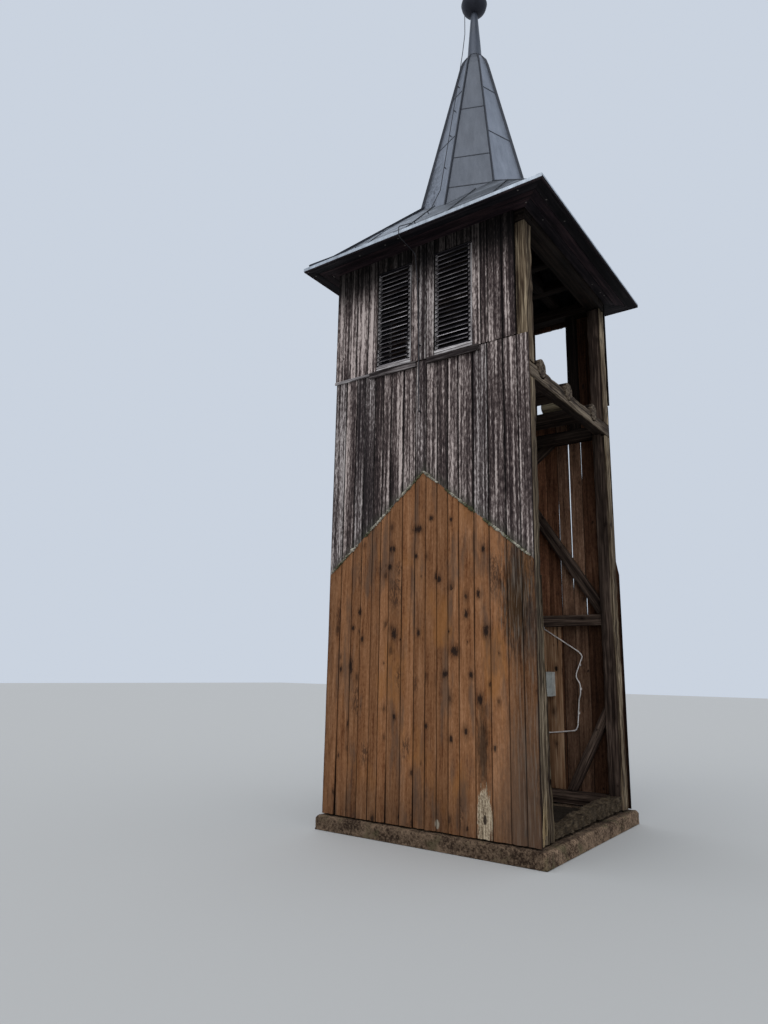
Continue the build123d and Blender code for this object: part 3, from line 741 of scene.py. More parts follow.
# knots and smudges that are measured on the front: x, z, half width and half height
front_marks = ((-0.063, 3.019, 0.055, 0.037), (0.094, 3.118, 0.024, 0.028), (-0.359, 2.837, 0.020, 0.030),
               (-0.084, 2.742, 0.020, 0.030), (-0.406, 2.651, 0.026, 0.035), (0.190, 2.491, 0.020, 0.038),
               (0.681, 2.750, 0.022, 0.030), (0.622, 2.322, 0.022, 0.038), (0.491, 2.138, 0.026, 0.040),
               (-0.784, 2.197, 0.020, 0.040), (-0.872, 2.032, 0.022, 0.026), (-0.342, 1.961, 0.034, 0.060),
               (-0.047, 1.967, 0.020, 0.034), (0.702, 1.974, 0.034, 0.055), (0.254, 1.575, 0.030, 0.036),
               (0.540, 1.571, 0.022, 0.032), (0.631, 1.349, 0.028, 0.052), (0.047, 1.086, 0.018, 0.024),
               (0.323, 0.990, 0.016, 0.036), (0.777, 0.938, 0.016, 0.026), (-0.888, 1.638, 0.024, 0.080),
               (-0.327, 1.151, 0.020, 0.030), (0.363, 1.790, 0.045, 0.050))


def marks_at(tree, place, marks):
    """The distance to the nearest mark, as a share of that mark's own size."""
    nearest = 9.0
    for mark in marks:
        nearest = sums(tree, "MINIMUM", from_middle(tree, place, *mark), nearest)
    rough = grainy(tree, place, (75, 0, 18), 4, 0.75)
    return plus(tree, nearest, swing(tree, rough, 3.4))


# %% Brown boards
def warm_wood(tree, grain, tone, place):
    """The boards that the porch roof kept dry: their colour, its value and the layers of the pattern."""
    value, layers = layered(tree, grain, warm_layers)
    colour = shades(tree, value, warm_shades)
    colour = dimmed(tree, colour, between(tree, tone, 0.0, 1.0, 0.82, 1.18))
    glow = grainy(tree, place, (2.6, 2.6, 1.0), 3, 0.6, shift=(3, 0, 5))
    glow = times(tree, between(tree, glow, 0.52, 0.66), 0.55)
    colour = mixed(tree, glow, colour, (0.290, 0.122, 0.036, 1))
    dull = grainy(tree, place, (5.0, 5.0, 0.9), 4, 0.65, shift=(8, 0, 2))
    dull = times(tree, between(tree, dull, 0.50, 0.66), 0.70)
    colour = mixed(tree, dull, colour, (0.092, 0.058, 0.040, 1))
    core, halo = knots_in(tree, grain, 0.76)
    nearness = marks_at(tree, place, front_marks)
    core = larger(tree, core, between(tree, nearness, 0.55, 1.15, 1.0, 0.0))
    halo = larger(tree, halo, between(tree, nearness, 0.90, 2.20, 1.0, 0.0))
    smudge_core, smudge = knots_in(tree, grain, 0.70, (3.2, 1.5))
    fleck = grainy(tree, grain, (75, 18, 75), 3, 0.7)
    smudge = times(tree, smudge, between(tree, fleck, 0.42, 0.56))
    colour = mixed(tree, times(tree, smudge, 0.75), colour, (0.034, 0.018, 0.012, 1))
    colour = mixed(tree, times(tree, halo, 0.50), colour, (0.060, 0.026, 0.012, 1))
    return mixed(tree, times(tree, core, 0.92), colour, knot_brown), value, layers


# %% Stains on the brown boards
rot_shades = [(0.40, (0.060, 0.042, 0.026)), (0.48, (0.270, 0.205, 0.135)), (0.57, (0.500, 0.410, 0.290))]


def stained(tree, place, colour, fibres):
    """Dust, damp and soot on the brown boards. fibres is the fine pattern of their wood."""
    x, y, z = parts_of(tree, place)
    dusty = times(tree, spot(tree, place, 1.06, 0.40, 0.45, 1.15, 0.6, 0.9), 0.72)
    colour = mixed(tree, dusty, colour, (0.112, 0.070, 0.046, 1))
    damp = between(tree, z, 0.15, 0.80, 0.62, 0.0)
    edge = between(tree, x, -1.20, -0.98, 0.45, 0.0)
    corner = between(tree, x, 0.88, 1.08, 0.0, 0.62)
    dark = larger(tree, larger(tree, damp, edge), corner)
    colour = mixed(tree, dark, colour, (0.46, 0.52, 0.60, 1), "MULTIPLY")
    soot = spot(tree, place, 1.02, 2.26, 0.23, 0.70, 0.9, 0.7)
    drip = spot(tree, place, 0.655, 0.92, 0.085, 0.55, 0.7, 0.8)
    colour = mixed(tree, larger(tree, soot, drip), colour, (0.26, 0.30, 0.36, 1), "MULTIPLY")
    ashen = times(tree, larger(tree, soot, corner), between(tree, fibres, 0.48, 0.62))
    return mixed(tree, times(tree, ashen, 0.8), colour, (0.150, 0.118, 0.092, 1))


def rotten(tree, place, colour, fibres):
    """The rotten foot of one board, with a hole in it, and a small chip on a board beside it."""
    chewed = times(tree, plus(tree, grainy(tree, place, (60, 0, 38), 4, 0.75), fibres), 0.5)
    rot = spot(tree, place, rot_middle.x, rot_middle.z, rot_half.x * 0.95, rot_half.z, 0.9, 0.10)
    colour = mixed(tree, rot, colour, shades(tree, chewed, rot_shades))
    chip = spot(tree, place, 0.173, 0.220, 0.024, 0.045, 0.7, 0.2)
    colour = mixed(tree, times(tree, chip, 0.8), colour, (0.300, 0.260, 0.200, 1))
    hole = spot(tree, place, rot_middle.x + 0.004, rot_middle.z - 0.02, 0.018, 0.045, 0.3, 0.2)
    return mixed(tree, times(tree, hole, 0.9), colour, knot_brown)


# %% Finish of the front lower boards
def two_faced(tree, shader, inner, outer):
    """One colour inside and another outside, with dirt in the joints."""
    colour = mixed(tree, between(tree, stored(tree, "outer"), 0.4, 0.6), inner, outer)
    feed(tree, shader.inputs["Base Color"], dimmed(tree, colour, joint_shade(tree)))


def front_finish():
    material, tree, shader = new_finish("front_boards", 0.8)
    grain, tone = grain_and_tone(tree)
    place = place_of(tree)
    x, y, z = parts_of(tree, place)
    warm, value, layers = warm_wood(tree, grain, tone, place)
    warm = rotten(tree, place, stained(tree, place, warm, layers[1]), layers[1])
    paler_left = between(tree, x, -1.10, -0.50, 0.011, 0.0)
    grey, flakes = weathered(tree, grain, tone, paler_left)
    roof_line = plus(tree, times(tree, sums(tree, "ABSOLUTE", x), -porch_slope), porch_apex)
    wobble = grainy(tree, place, (30, 0, 30))
    over = plus(tree, sums(tree, "SUBTRACT", z, roof_line), swing(tree, wobble, 0.03))
    above = between(tree, over, -0.006, 0.006)
    moss = times(tree, between(tree, over, 0.0, 0.16, 0.55, 0.0), above)
    grey = mixed(tree, moss, grey, (0.046, 0.046, 0.034, 1))
    two_faced(tree, shader, shades(tree, value, inside_shades), mixed(tree, above, warm, grey))
    surface = plus(tree, plus(tree, layers[1], layers[0]), times(tree, above, flakes[1]))
    relief(tree, shader, surface, 0.0018)
    return material


front_boards_finish = front_finish()
finish_piece(front_lower, "front_boards_lower", [front_boards_finish], ["front_wall_lower"])

# %% [markdown]
# ### The line of the porch roof
# Where the porch roof met the wall, a bead of mortar and moss is left. It is crumbs: a few hundred small
# lumps of different sizes, strewn along the two slopes, with places where they have fallen off.

# %% Bead of mortar
dice = random.Random(5)
bead = new_piece()
crumb_pitch = 0.011
crumb_size = 0.0125
bead_reach = front_high.x - 0.012
slope_length = math.hypot(1, porch_slope)
for side in (-1, 1):
    for number in range(int(bead_reach * slope_length / crumb_pitch)):
        along = number * crumb_pitch / slope_length
        loose = noise.noise(Vector((side * 40 + along * 7, 2, 0)))
        size = (crumb_size + 0.0100 * noise.noise(Vector((side * 20 + along * 26, 0, 0)))) * (1 + 0.6 * loose)
        if loose < -0.28:
            continue
        centre = Vector((side * along, front_low.y - 0.2 * size,
                         porch_apex - porch_slope * along + dice.uniform(-0.004, 0.006)))
        spin = Matrix.Rotation(dice.uniform(0, 3), 4, (dice.random(), dice.random(), 1))
        form = Matrix.Diagonal((dice.uniform(0.8, 1.7), 0.8, dice.uniform(0.8, 1.3), 1))
        bmesh.ops.create_icosphere(bead, subdivisions=1, radius=size,
                                   matrix=Matrix.Translation(centre) @ spin @ form)
        store_grain(bead, fresh_part(bead), dice)


def crumb_finish():
    material, tree, shader = new_finish("mortar_crumbs", 0.95)
    place = place_of(tree)
    patches = grainy(tree, place, 5.0, 3, 0.6)
    tone = stored(tree, "tone")
    mortar = shades(tree, tone, [(0.0, (0.150, 0.136, 0.105)), (1.0, (0.480, 0.450, 0.370))])
    moss = shades(tree, tone, [(0.0, (0.040, 0.042, 0.022)), (1.0, (0.120, 0.118, 0.070))])
    feed(tree, shader.inputs["Base Color"], mixed(tree, between(tree, patches, 0.46, 0.58), mortar, moss))
    relief(tree, shader, grainy(tree, place, 260, 3), 0.0008)
    return material


finish_piece(bead, "porch_line", [crumb_finish()], smooth_angle=80)

# %% [markdown]
# ### Upper boards and the other walls
# The belfry's boards begin a little proud of the lower ones, and end raggedly. Where a window comes,
# the boards stop under it and go on above it. A wall is made as if it stood at the front, and then
# turned about the tower's middle to its own side.

# %% Joints between boards
window_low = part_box("front_louvres")[0].z
window_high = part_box("front_louvres")[1].z


def shared_out(left, right_edge, width, dice):
    """Joints between two limits, about one board width apart, each a little off."""
    count = max(1, round((right_edge - left) / width))
    pitch = (right_edge - left) / count
    inner = [left + pitch * number + dice.uniform(-0.16, 0.16) * pitch for number in range(1, count)]
    return [left, *inner, right_edge]


def wall_joints(limits, width, dice):
    """Joints of a whole wall that always has one at each of the limits."""
    joints = [limits[0]]
    for left, right_edge in zip(limits, limits[1:]):
        joints += shared_out(left, right_edge, width, dice)[1:]
    return joints


def add_wall(piece, joints, y, z, dice, windows=(), ragged=0.015, gap=None, lift=0.0):
    """Boards between joints. Where a board lies in a window it is made in two lengths."""
    for number, (left, right_edge) in enumerate(zip(joints, joints[1:])):
        middle = (left + right_edge) / 2
        foot = z[0] + dice.uniform(0, lift)
        lengths = [(foot, z[1])]
        if any(low < middle < high for low, high in windows):
            lengths = [(foot, window_low), (window_high, z[1])]
        for length in lengths:
            if length[1] - length[0] < 0.012:
                continue
            own_gap = (lambda side, height, number=number: gap(number, side, height)) if gap else None
            fresh = add_board(piece, (left, right_edge), y, length, dice, ragged_foot=ragged, gap=own_gap)
            store_grain(piece, fresh, dice, upright=True)


def turn_piece(piece, quarter):
    bmesh.ops.rotate(piece, verts=piece.verts, cent=(0, 0, 0), matrix=quarter_turn(quarter))


def windows_of(node_name, quarter):
    """The window openings of one wall, as seen at the front before the wall is turned."""
    louvres = copy_of(node_name)
    turn_piece(louvres, -quarter)
    spans = [[vertex.co.x for vertex in group] for group in islands(louvres)]
    louvres.free()
    return sorted((min(span), max(span)) for span in spans)


# %% Finish of weathered board walls
# the light on the walls' inner side: number of the axis, from, to, brightness before and after
inner_light = ((2, 4.40, 4.75, 1.0, 0.26), (0, -0.40, 0.00, 0.45, 1.0), (0, 1.02, 1.16, 1.0, 0.35),
               (0, 1.17, 1.19, 1.0, 0.35), (2, 2.10, 2.50, 0.72, 1.20))


def wall_finish(name, paler_patches=False):
    """Weathered outside and brown inside. The front has two paler patches, left of and between windows."""
    material, tree, shader = new_finish(name, 0.85)
    grain, tone = grain_and_tone(tree)
    place = place_of(tree)
    coordinates = parts_of(tree, place)
    extra = 0.0
    if paler_patches:
        left_patch = times(tree, spot(tree, place, -0.86, 5.30, 0.28, 0.62), 0.035)
        middle_patch = times(tree, spot(tree, place, 0.0, 5.30, 0.20, 0.62), 0.022)
        extra = plus(tree, left_patch, middle_patch)
    grey, flakes = weathered(tree, grain, tone, extra)
    if not paler_patches:
        grey = mixed(tree, 0.35, grey, (0.085, 0.070, 0.068, 1))
    # painted shade under the eaves: the grey darkens to a tenth towards the top
    grey = dimmed(tree, grey, between(tree, coordinates["Z"], 5.60, 6.06, 1.0, 0.10))
    value, layers = layered(tree, grain, warm_layers)
    inner = shades(tree, value, inside_shades)
    inner = dimmed(tree, inner, between(tree, tone, 0.0, 1.0, 0.55, 1.40))
    for axis, low, high, before, after in inner_light:
        inner = dimmed(tree, inner, between(tree, coordinates[axis], low, high, before, after))
    warmth = between(tree, reshuffled(tree, tone, 5.1), 0.5, 0.9, 0.0, 0.8)
    inner = mixed(tree, warmth, inner, (1.25, 0.95, 0.78, 1), "MULTIPLY")
    core, halo = knots_in(tree, grain, 0.66)
    inner = mixed(tree, core, inner, knot_brown)
    grey = mixed(tree, times(tree, core, 0.8), grey, knot_brown)
    two_faced(tree, shader, inner, grey)
    relief(tree, shader, plus(tree, plus(tree, layers[1], layers[0]), flakes[1]), 0.0018)
    return material


grey_walls_finish = wall_finish("grey_walls")
front_upper_finish = wall_finish("front_upper_boards", paler_patches=True)

# %% Front upper boards
upper_low, upper_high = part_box("front_wall_upper")
front_windows = windows_of("front_louvres", 0)
print("front windows", [(round(a, 3), round(b, 3)) for a, b in front_windows])
(first_left, first_right), (second_left, second_right) = front_windows
front_upper_joints = (upper_low.x, -1.123, -1.036, -0.926, -0.758, first_left, -0.500, -0.360, first_right,
                      -0.073, 0.022, second_left, 0.270, 0.410, second_right, 0.687, 0.770, 0.934,
                      upper_high.x)
dice = random.Random(11)
front_upper = new_piece()
add_wall(front_upper, front_upper_joints, (upper_low.y, upper_high.y), (upper_low.z, upper_high.z), dice,
         front_windows, ragged=0.012, lift=0.004)
finish_piece(front_upper, "front_boards_upper", [front_upper_finish], ["front_wall_upper"])

# %% [markdown]
# ### Batten
# At the left end a narrow batten closes the foot of the upper boards. It is the same pale wood as the
# windows' frames, so that finish is made here. The batten is one long box, cut into short lengths that
# sway a little up and down.

# %% Batten at the foot of the upper boards
louvre_shades = [(0.41, (0.080, 0.068, 0.068)), (0.49, (0.260, 0.238, 0.236)),
                 (0.56, (0.560, 0.530, 0.520))]
# the frame darkens towards its top as painted shade under the eaves
louvre_finish = timber_finish("louvre_wood", louvre_shades, knots=0.85,
                              heights=[(0.0, 1.15), (5.30, 1.15), (6.05, 0.55)])
batten_end = -0.722
batten_heights = (4.842, 4.874)
batten = new_piece()
add_box(batten, (upper_low.x - 0.004, batten_end), (upper_low.y - 0.008, front_low.y), batten_heights)
ease(batten, batten.edges[:], 0.003)
cut_along(batten, 0, [upper_low.x + 0.05 * number for number in range(1, 10)])
batten_points = fresh_part(batten)
for vertex in batten_points:
    vertex.co.z += 0.004 * noise.noise(vertex.co * 9)
store_grain(batten, batten_points, dice)
finish_piece(batten, "foot_batten", [louvre_finish])

# %% [markdown]
# ### Left wall
# The left wall has two louvred windows like the front, and boards of uneven width between them. No
# porch ever kept it dry, so it is grey all over.

# %% Left boards
wall_inner = -front_high.y
lower_outer = -front_low.y
upper_outer = -upper_low.y
dice = random.Random(13)
left_lower = new_piece()
add_wall(left_lower, wall_joints((-wall_inner, wall_inner), 0.145, dice), (-lower_outer, -wall_inner),
         (front_low.z, front_high.z), dice, lift=0.006)
turn_piece(left_lower, 3)
finish_piece(left_lower, "left_boards_lower", [grey_walls_finish], ["left_wall_lower"])

left_windows = windows_of("left_louvres", 3)
left_limits = (-wall_inner, *left_windows[0], *left_windows[1], wall_inner)
left_upper = new_piece()
add_wall(left_upper, wall_joints(left_limits, 0.12, dice), (-upper_outer, -wall_inner),
         (upper_low.z, upper_high.z), dice, left_windows, ragged=0.020, lift=0.008)
turn_piece(left_upper, 3)
finish_piece(left_upper, "left_boards_upper", [grey_walls_finish], ["left_wall_upper"])

# %% [markdown]
# ### Back wall
# Through the open side one sees the back wall from inside. Three of its joints have opened so far that
# daylight comes through, one of them over two metres long and wider towards its top. Its last board
# stands out a little past the corner post up to 2.8 m, and falls short of it higher up.

# %% Back boards
back_low, back_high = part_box("back_wall_lower")
# each slit has its joint, the heights where it starts and ends, and its width at both
light_slits = [(-0.645, 2.51, 4.66, 0.011, 0.017), (-0.805, 3.85, 5.55, 0.008, 0.007),
               (-0.805, 2.15, 2.85, 0.012, 0.008), (-0.494, 2.20, 3.85, 0.005, 0.008)]
slit_taper = 0.2
proud_height = 2.8
proud_width = 0.014
shy_width = 0.016       # how far the same board falls short above that height


def light_gap(joint, height):
    """Half the width of an opened joint at a height, closing softly at its ends."""
    for place, low, high, low_width, high_width in light_slits:
        if place == joint and low < height < high:
            share = (height - low) / (high - low)
            ends = min(1.0, (height - low) / slit_taper, (high - height) / slit_taper)
            return ends * (low_width + (high_width - low_width) * share) / 2
    return 0.0


dice = random.Random(17)
back_limits = (-back_high.x, -0.97, -0.805, -0.645, -0.494, wall_inner)
back_joints = wall_joints(back_limits, 0.15, dice)


def back_gap(number, side, height):
    if number == 0 and side < 0:
        return -proud_width if height < proud_height else shy_width
    joint = back_joints[number + 1] if side > 0 else back_joints[number]
    return light_gap(joint, height)


back_lower = new_piece()
add_wall(back_lower, back_joints, (-lower_outer, -wall_inner), (back_low.z, back_high.z), dice, gap=back_gap)
turn_piece(back_lower, 2)
finish_piece(back_lower, "back_boards_lower", [grey_walls_finish], ["back_wall_lower"])

back_upper_low, back_upper_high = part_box("back_wall_upper")
louvred = windows_of("back_louvre", 2)[0]
open_window = (-louvred[1], -louvred[0])
back_windows = (open_window, louvred)
back_upper_limits = (-back_upper_high.x, -0.805, *open_window, *louvred, wall_inner)
back_upper_joints = wall_joints(back_upper_limits, 0.13, dice)
back_upper = new_piece()
add_wall(back_upper, back_upper_joints, (-upper_outer, -wall_inner),
         (back_upper_low.z, back_upper_high.z), dice, back_windows, ragged=0.020, lift=0.008,
         gap=lambda number, side, height: light_gap(back_upper_joints[number + (side > 0)], height))
turn_piece(back_upper, 2)
finish_piece(back_upper, "back_boards_upper", [grey_walls_finish], ["back_wall_upper"])

# %% [markdown]
# ## Hewn timbers
# The frame's timbers were squared by hand. Each one is a copy of the frame's own piece, so its notches
# stay, cut into short lengths and then pulled in a little here and there. Points only ever move inwards,
# so the timber still fits its joints.


# %% Hewing
def axes_of(group):
    """A timber's middle and its three own directions, the long one first."""
    points, middle, axes = own_axes(group)
    return Vector(middle), [Vector(axes[:, number]) for number in (2, 1, 0)]


def cut_up(piece, group, middle, axis, step):
    """Cut one timber into slices about a step thick, and hand back all of its points."""
    reach = [(vertex.co - middle).dot(axis) for vertex in group]
    low, high = min(reach), max(reach)
    count = max(1, round((high - low) / step))
    for number in range(1, count):
        place = low + (high - low) * number / count
        cut = bmesh.ops.bisect_plane(piece, geom=geometry_of(group), dist=1e-5,
                                     plane_co=middle + axis * place, plane_no=axis)
        group = list({*group, *(item for item in cut["geom_cut"] if isinstance(item, bmesh.types.BMVert))})
    return group


def ease_edges(piece, width):
    """Bevel every edge that is sharper than 40 degrees."""
    sharp = [edge for edge in piece.edges if edge.is_manifold and edge.calc_face_angle(0) > math.radians(40)]
    ease(piece, sharp, width, segments=2, clamp=True)


def pull_in(group, depth, wave, offset):
    """Move a timber's points inwards along their normals, by a depth that wanders."""
    moves = []
    for vertex in group:
        swell = noise.noise(vertex.co * wave + offset) + 0.5 * noise.noise(vertex.co * wave * 4 + offset)
        moves.append(-vertex.normal * depth * max(0.0, 0.5 + 0.5 * swell))
    for vertex, move in zip(group, moves):
        vertex.co += move


def hew(name, finish, depth=0.007, round_off=0.010, step=0.16, wave=3.0, seed=1,
        fine=None):
    """A weathered timber, or several of one node, in place of the frame's plain ones."""
    piece = copy_of(name)
    ease_edges(piece, round_off)
    piece.verts.index_update()
    for group in islands(piece):
        middle, axes = axes_of(group)
        group = cut_up(piece, group, middle, axes[0], step)
        if fine:
            for axis in axes[1:]:
                group = cut_up(piece, group, middle, axis, fine)
    piece.verts.index_update()
    piece.normal_update()
    dice = random.Random(seed)
    for group in islands(piece):
        offset = Vector((dice.uniform(0, 50), dice.uniform(0, 50), dice.uniform(0, 50)))
        store_grain(piece, group, dice)
        pull_in(group, depth, wave, offset)
    split_large_faces(piece)
    return finish_piece(piece, name + "_hewn", [finish], [name])


# %% Posts, sills, rails and beams
posts = {"post_front_left": near_post_finish, "post_back_left": near_post_finish,
         "post_front_right": near_post_finish, "post_back_right": far_post_finish}
inner_timbers = ["sills", "mid_rails", "belt_beam_left", "belt_beam_front", "belt_beam_back", "plate_left",
                 "plate_right", "plate_front", "plate_back", "long_brace", "upper_brace", "knee_brace",
                 "window_studs"]
for number, (name, finish) in enumerate(posts.items()):
    hew(name, finish, seed=20 + number, depth=0.020, round_off=0.012, step=0.06, wave=7.0, fine=0.045)
for number, name in enumerate(inner_timbers):
    hew(name, inner_frame_finish, seed=40 + number)
hew("belt_beam_right", belt_finish, seed=30, depth=0.018, step=0.05, wave=8.0, fine=0.035)
hew("floor_logs", belt_finish, seed=31, depth=0.012, wave=5.0)
hew("lining_planks", plank_finish, depth=0.002, round_off=0.003, seed=61)

roof_timbers = ["roof_beams_across", "roof_beams_along", "mast", "spire_rafters", "skirt_rafters"]
for number, name in enumerate(roof_timbers):
    hew(name, inner_frame_finish, seed=70 + number, depth=0.004, step=0.3)

# %% [markdown]
# ### A loose round timber
# A short log end lies on the last floor log and closes most of the gap above it. It is a cone with
# nearly equal ends, turned on its side, eased, cut into slices and pulled in like the hewn timbers.

# %% Short round timber
def weather(piece, points, seed, depth, wave, offset):
    """Give one new timber its grain, and pull its surface in."""
    piece.normal_update()
    store_grain(piece, points, random.Random(seed))
    pull_in(points, depth, wave, Vector(offset))
    split_large_faces(piece)


stub = new_piece()
stub_middle = Vector((0.70, 0.62, 4.773))
stub_length = 0.27
stub_radii = (0.082, 0.078)
lying = Matrix.Translation(stub_middle) @ Matrix.Rotation(math.radians(90), 4, "Y")
bmesh.ops.create_cone(stub, cap_ends=True, segments=18, radius1=stub_radii[0], radius2=stub_radii[1],
                      depth=stub_length, matrix=lying)
ease_edges(stub, 0.010)
stub_points = cut_up(stub, stub.verts[:], stub_middle, Vector((1, 0, 0)), 0.04)
weather(stub, stub_points, 9, 0.008, 12.0, (2, 3, 4))
# pale shades, partly painted light on a log that lies in shade inside the tower
stub_painted_light_shades = [(0.40, (0.080, 0.064, 0.042)), (0.50, (0.235, 0.195, 0.125)), (0.60, (0.360, 0.310, 0.215))]
stub_finish = timber_finish("stub_wood", stub_painted_light_shades, knots=1.0)
finish_piece(stub, "short_round_timber", [stub_finish])

# %% [markdown]
# ### The rotten sill and the splintered foot
# The sill of the open side has rotted: its top has crumbled to brown fibre. It is hewn like the others,
# only deeper and in shorter lengths. At the foot of the near corner post the wood has burst, and long
# pale splinters stand off it. Each is a thin cone with four sides, pressed flat and leant outwards.

# %% Rotten sill
rotten_shades = [(0.36, (0.012, 0.008, 0.006)), (0.50, (0.052, 0.037, 0.023)), (0.62, (0.120, 0.088, 0.056))]


def crumbled_finish():
    """Wood that has lost its grain and fallen to crumbs."""
    material, tree, shader = new_finish("rotten_wood", 0.95)
    place = place_of(tree)
    crumbs = times(tree, grainy(tree, place, 11, 6, 0.75), 0.55)
    shreds = times(tree, grainy(tree, place, (60, 14, 60), 4, 0.7), 0.45)
    value = plus(tree, crumbs, shreds)
    feed(tree, shader.inputs["Base Color"], shades(tree, value, rotten_shades))
    relief(tree, shader, value, 0.012)
    return material


rotten_finish = crumbled_finish()
hew("old_sill_right", rotten_finish, seed=33, depth=0.050, step=0.03, wave=13.0, round_off=0.02, fine=0.03)

# %% Splinters
splinter_shades = [(0.38, (0.130, 0.085, 0.040)), (0.50, (0.300, 0.215, 0.115)),
                   (0.62, (0.480, 0.380, 0.240))]
splinter_finish = timber_finish("fresh_wood", splinter_shades, knots=1.0)
post_low, post_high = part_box("post_front_right")
dice = random.Random(3)
splinters = new_piece()
for number in range(9):
    length = dice.uniform(0.18, 0.44)
    foot = Vector((post_high.x + dice.uniform(-0.012, 0.004), post_low.y + dice.uniform(0.006, 0.11),
                   post_low.z + dice.uniform(0.01, 0.10)))
    lean = Matrix.Rotation(math.radians(dice.uniform(1, 6)), 4, "Y")
    tilt = Matrix.Rotation(math.radians(dice.uniform(-5, 5)), 4, "X")
    on_foot = Matrix.Translation((0, 0, length / 2)) @ Matrix.Diagonal((0.35, 1, 1, 1))
    bmesh.ops.create_cone(splinters, cap_ends=True, segments=4, radius1=dice.uniform(0.010, 0.024),
                          radius2=0.001, depth=length,
                          matrix=Matrix.Translation(foot) @ lean @ tilt @ on_foot)
    store_grain(splinters, fresh_part(splinters), dice)
finish_piece(splinters, "post_foot_splinters", [splinter_finish])

# %% [markdown]
# ### Flare of the post
# The trunk that the corner post was hewn from grew thicker towards its root. The swelling is a box
# against the post whose upper end is drawn back into it, cut finely both ways and then pulled in.

# %% Flare of the post
flare = new_piece()
flare_width = 0.14
flare_depth = 0.13
flare_top = 2.5
add_box(flare, (post_high.x - flare_width, post_high.x - 0.004),
        (post_high.y - 0.01, post_high.y + flare_depth), (post_low.z, flare_top))
for vertex in flare.verts:
    if vertex.co.z > 1 and vertex.co.y > post_high.y:
        vertex.co.y = post_high.y - 0.006
ease_edges(flare, 0.012)
ground_middle = Vector((0, 0, 0))
flare_points = cut_up(flare, flare.verts[:], ground_middle, Vector((0, 0, 1)), 0.05)
flare_points = cut_up(flare, flare_points, ground_middle, Vector((0, 1, 0)), 0.03)
weather(flare, flare_points, 12, 0.030, 8.0, (8, 1, 4))
finish_piece(flare, "post_foot_flare", [near_post_finish])

# %% [markdown]
# ## Sheet metal
# The roof is covered with galvanised sheet. New, it shines; after years it is dull grey with clouds of
# oxide, streaks where rain runs and faint waves where the sheet is not quite flat. Each of the spire's
# eight sides has its own sheet, and its own brightness, which paints the light and shade that fall on it.
# Underneath, the roof is boarded, so faces that look down get dark wood instead of metal, near black as
# painted shade.


# %% Sheet finishes
def sheet_finish(name, dark, light, rough=0.42, metal=0.55, painted_side_light=None, boarded=False,
                 painted_sheen_foot=False):
    """Dull sheet. The spire has painted light and shade per side, and scratches.
    The flared skirt has a painted sheen at its foot.
    """
    material, tree, shader = new_finish(name, rough, metal)
    place = place_of(tree)
    x, y, z = parts_of(tree, place)
    clouds = grainy(tree, place, 2.4, 5, 0.6)
    runs = grainy(tree, place, (14, 14, 1.3), 4, 0.65)
    specks = grainy(tree, place, 60, 3, 0.6)
    value = plus(tree, times(tree, clouds, 0.50), times(tree, runs, 0.38))
    value = plus(tree, value, times(tree, specks, 0.12))
    colour = shades(tree, value, [(0.36, dark), (0.64, light)])
    if painted_side_light:
        # each side's brightness paints the light and shade that fall on it
        turned = plus(tree, sums(tree, "ARCTAN2", y, x), math.pi)
        stops = [(number / len(painted_side_light), (tone, tone, tone)) for number, tone in enumerate(painted_side_light)]
        tones = shades(tree, sums(tree, "DIVIDE", turned, 2 * math.pi), stops, steps=True)
        twigs = sums(tree, "SUBTRACT", grainy(tree, place, 9, 4, 0.7, 1.2), 0.5)
        scratch = between(tree, sums(tree, "ABSOLUTE", twigs), 0.015, 0.045, 0.7, 0.0)
        scratch = times(tree, scratch, between(tree, x, -0.30, -0.12, 1.0, 0.0))
        scratch = times(tree, scratch, between(tree, z, 7.6, 8.5, 1.0, 0.15))
        colour = mixed(tree, scratch, dimmed(tree, colour, tones), (0.030, 0.034, 0.044, 1))
    if painted_sheen_foot:
        # bands of the sheet's laps, and a painted sheen that is brightest at the skirt's foot and its left
        # end
        laps = grainy(tree, place, (0.7, 0.7, 26), 3, 0.7)
        for value, low, high, before, after in ((laps, 0.42, 0.60, 0.50, 1.35), (z, 6.36, 6.60, 1.45, 0.66),
                                                (x, -0.9, 0.3, 1.30, 0.60)):
            colour = dimmed(tree, colour, between(tree, value, low, high, before, after))
    worn = between(tree, clouds, 0.3, 0.7, rough - 0.08, rough + 0.16)
    # faces that look down get boarding: real boards, whose near black colour also paints the shade under the
    # roof
    if boarded:
        facing = tree.nodes.new("ShaderNodeNewGeometry").outputs["Normal"]
        above = between(tree, parts_of(tree, facing)["Z"], -0.02, 0.02)
        boarding = shades(tree, grainy(tree, place, (9, 9, 3), 4), painted_shade_dark_wood)
        colour = mixed(tree, above, boarding, colour)
        feed(tree, shader.inputs["Metallic"], times(tree, above, metal))
        worn = larger(tree, worn, between(tree, above, 0, 1, 0.9, 0.0))
    feed(tree, shader.inputs["Base Color"], colour)
    feed(tree, shader.inputs["Roughness"], worn)
    relief(tree, shader, grainy(tree, place, 5.0, 2, 0.5), 0.004)
    return material


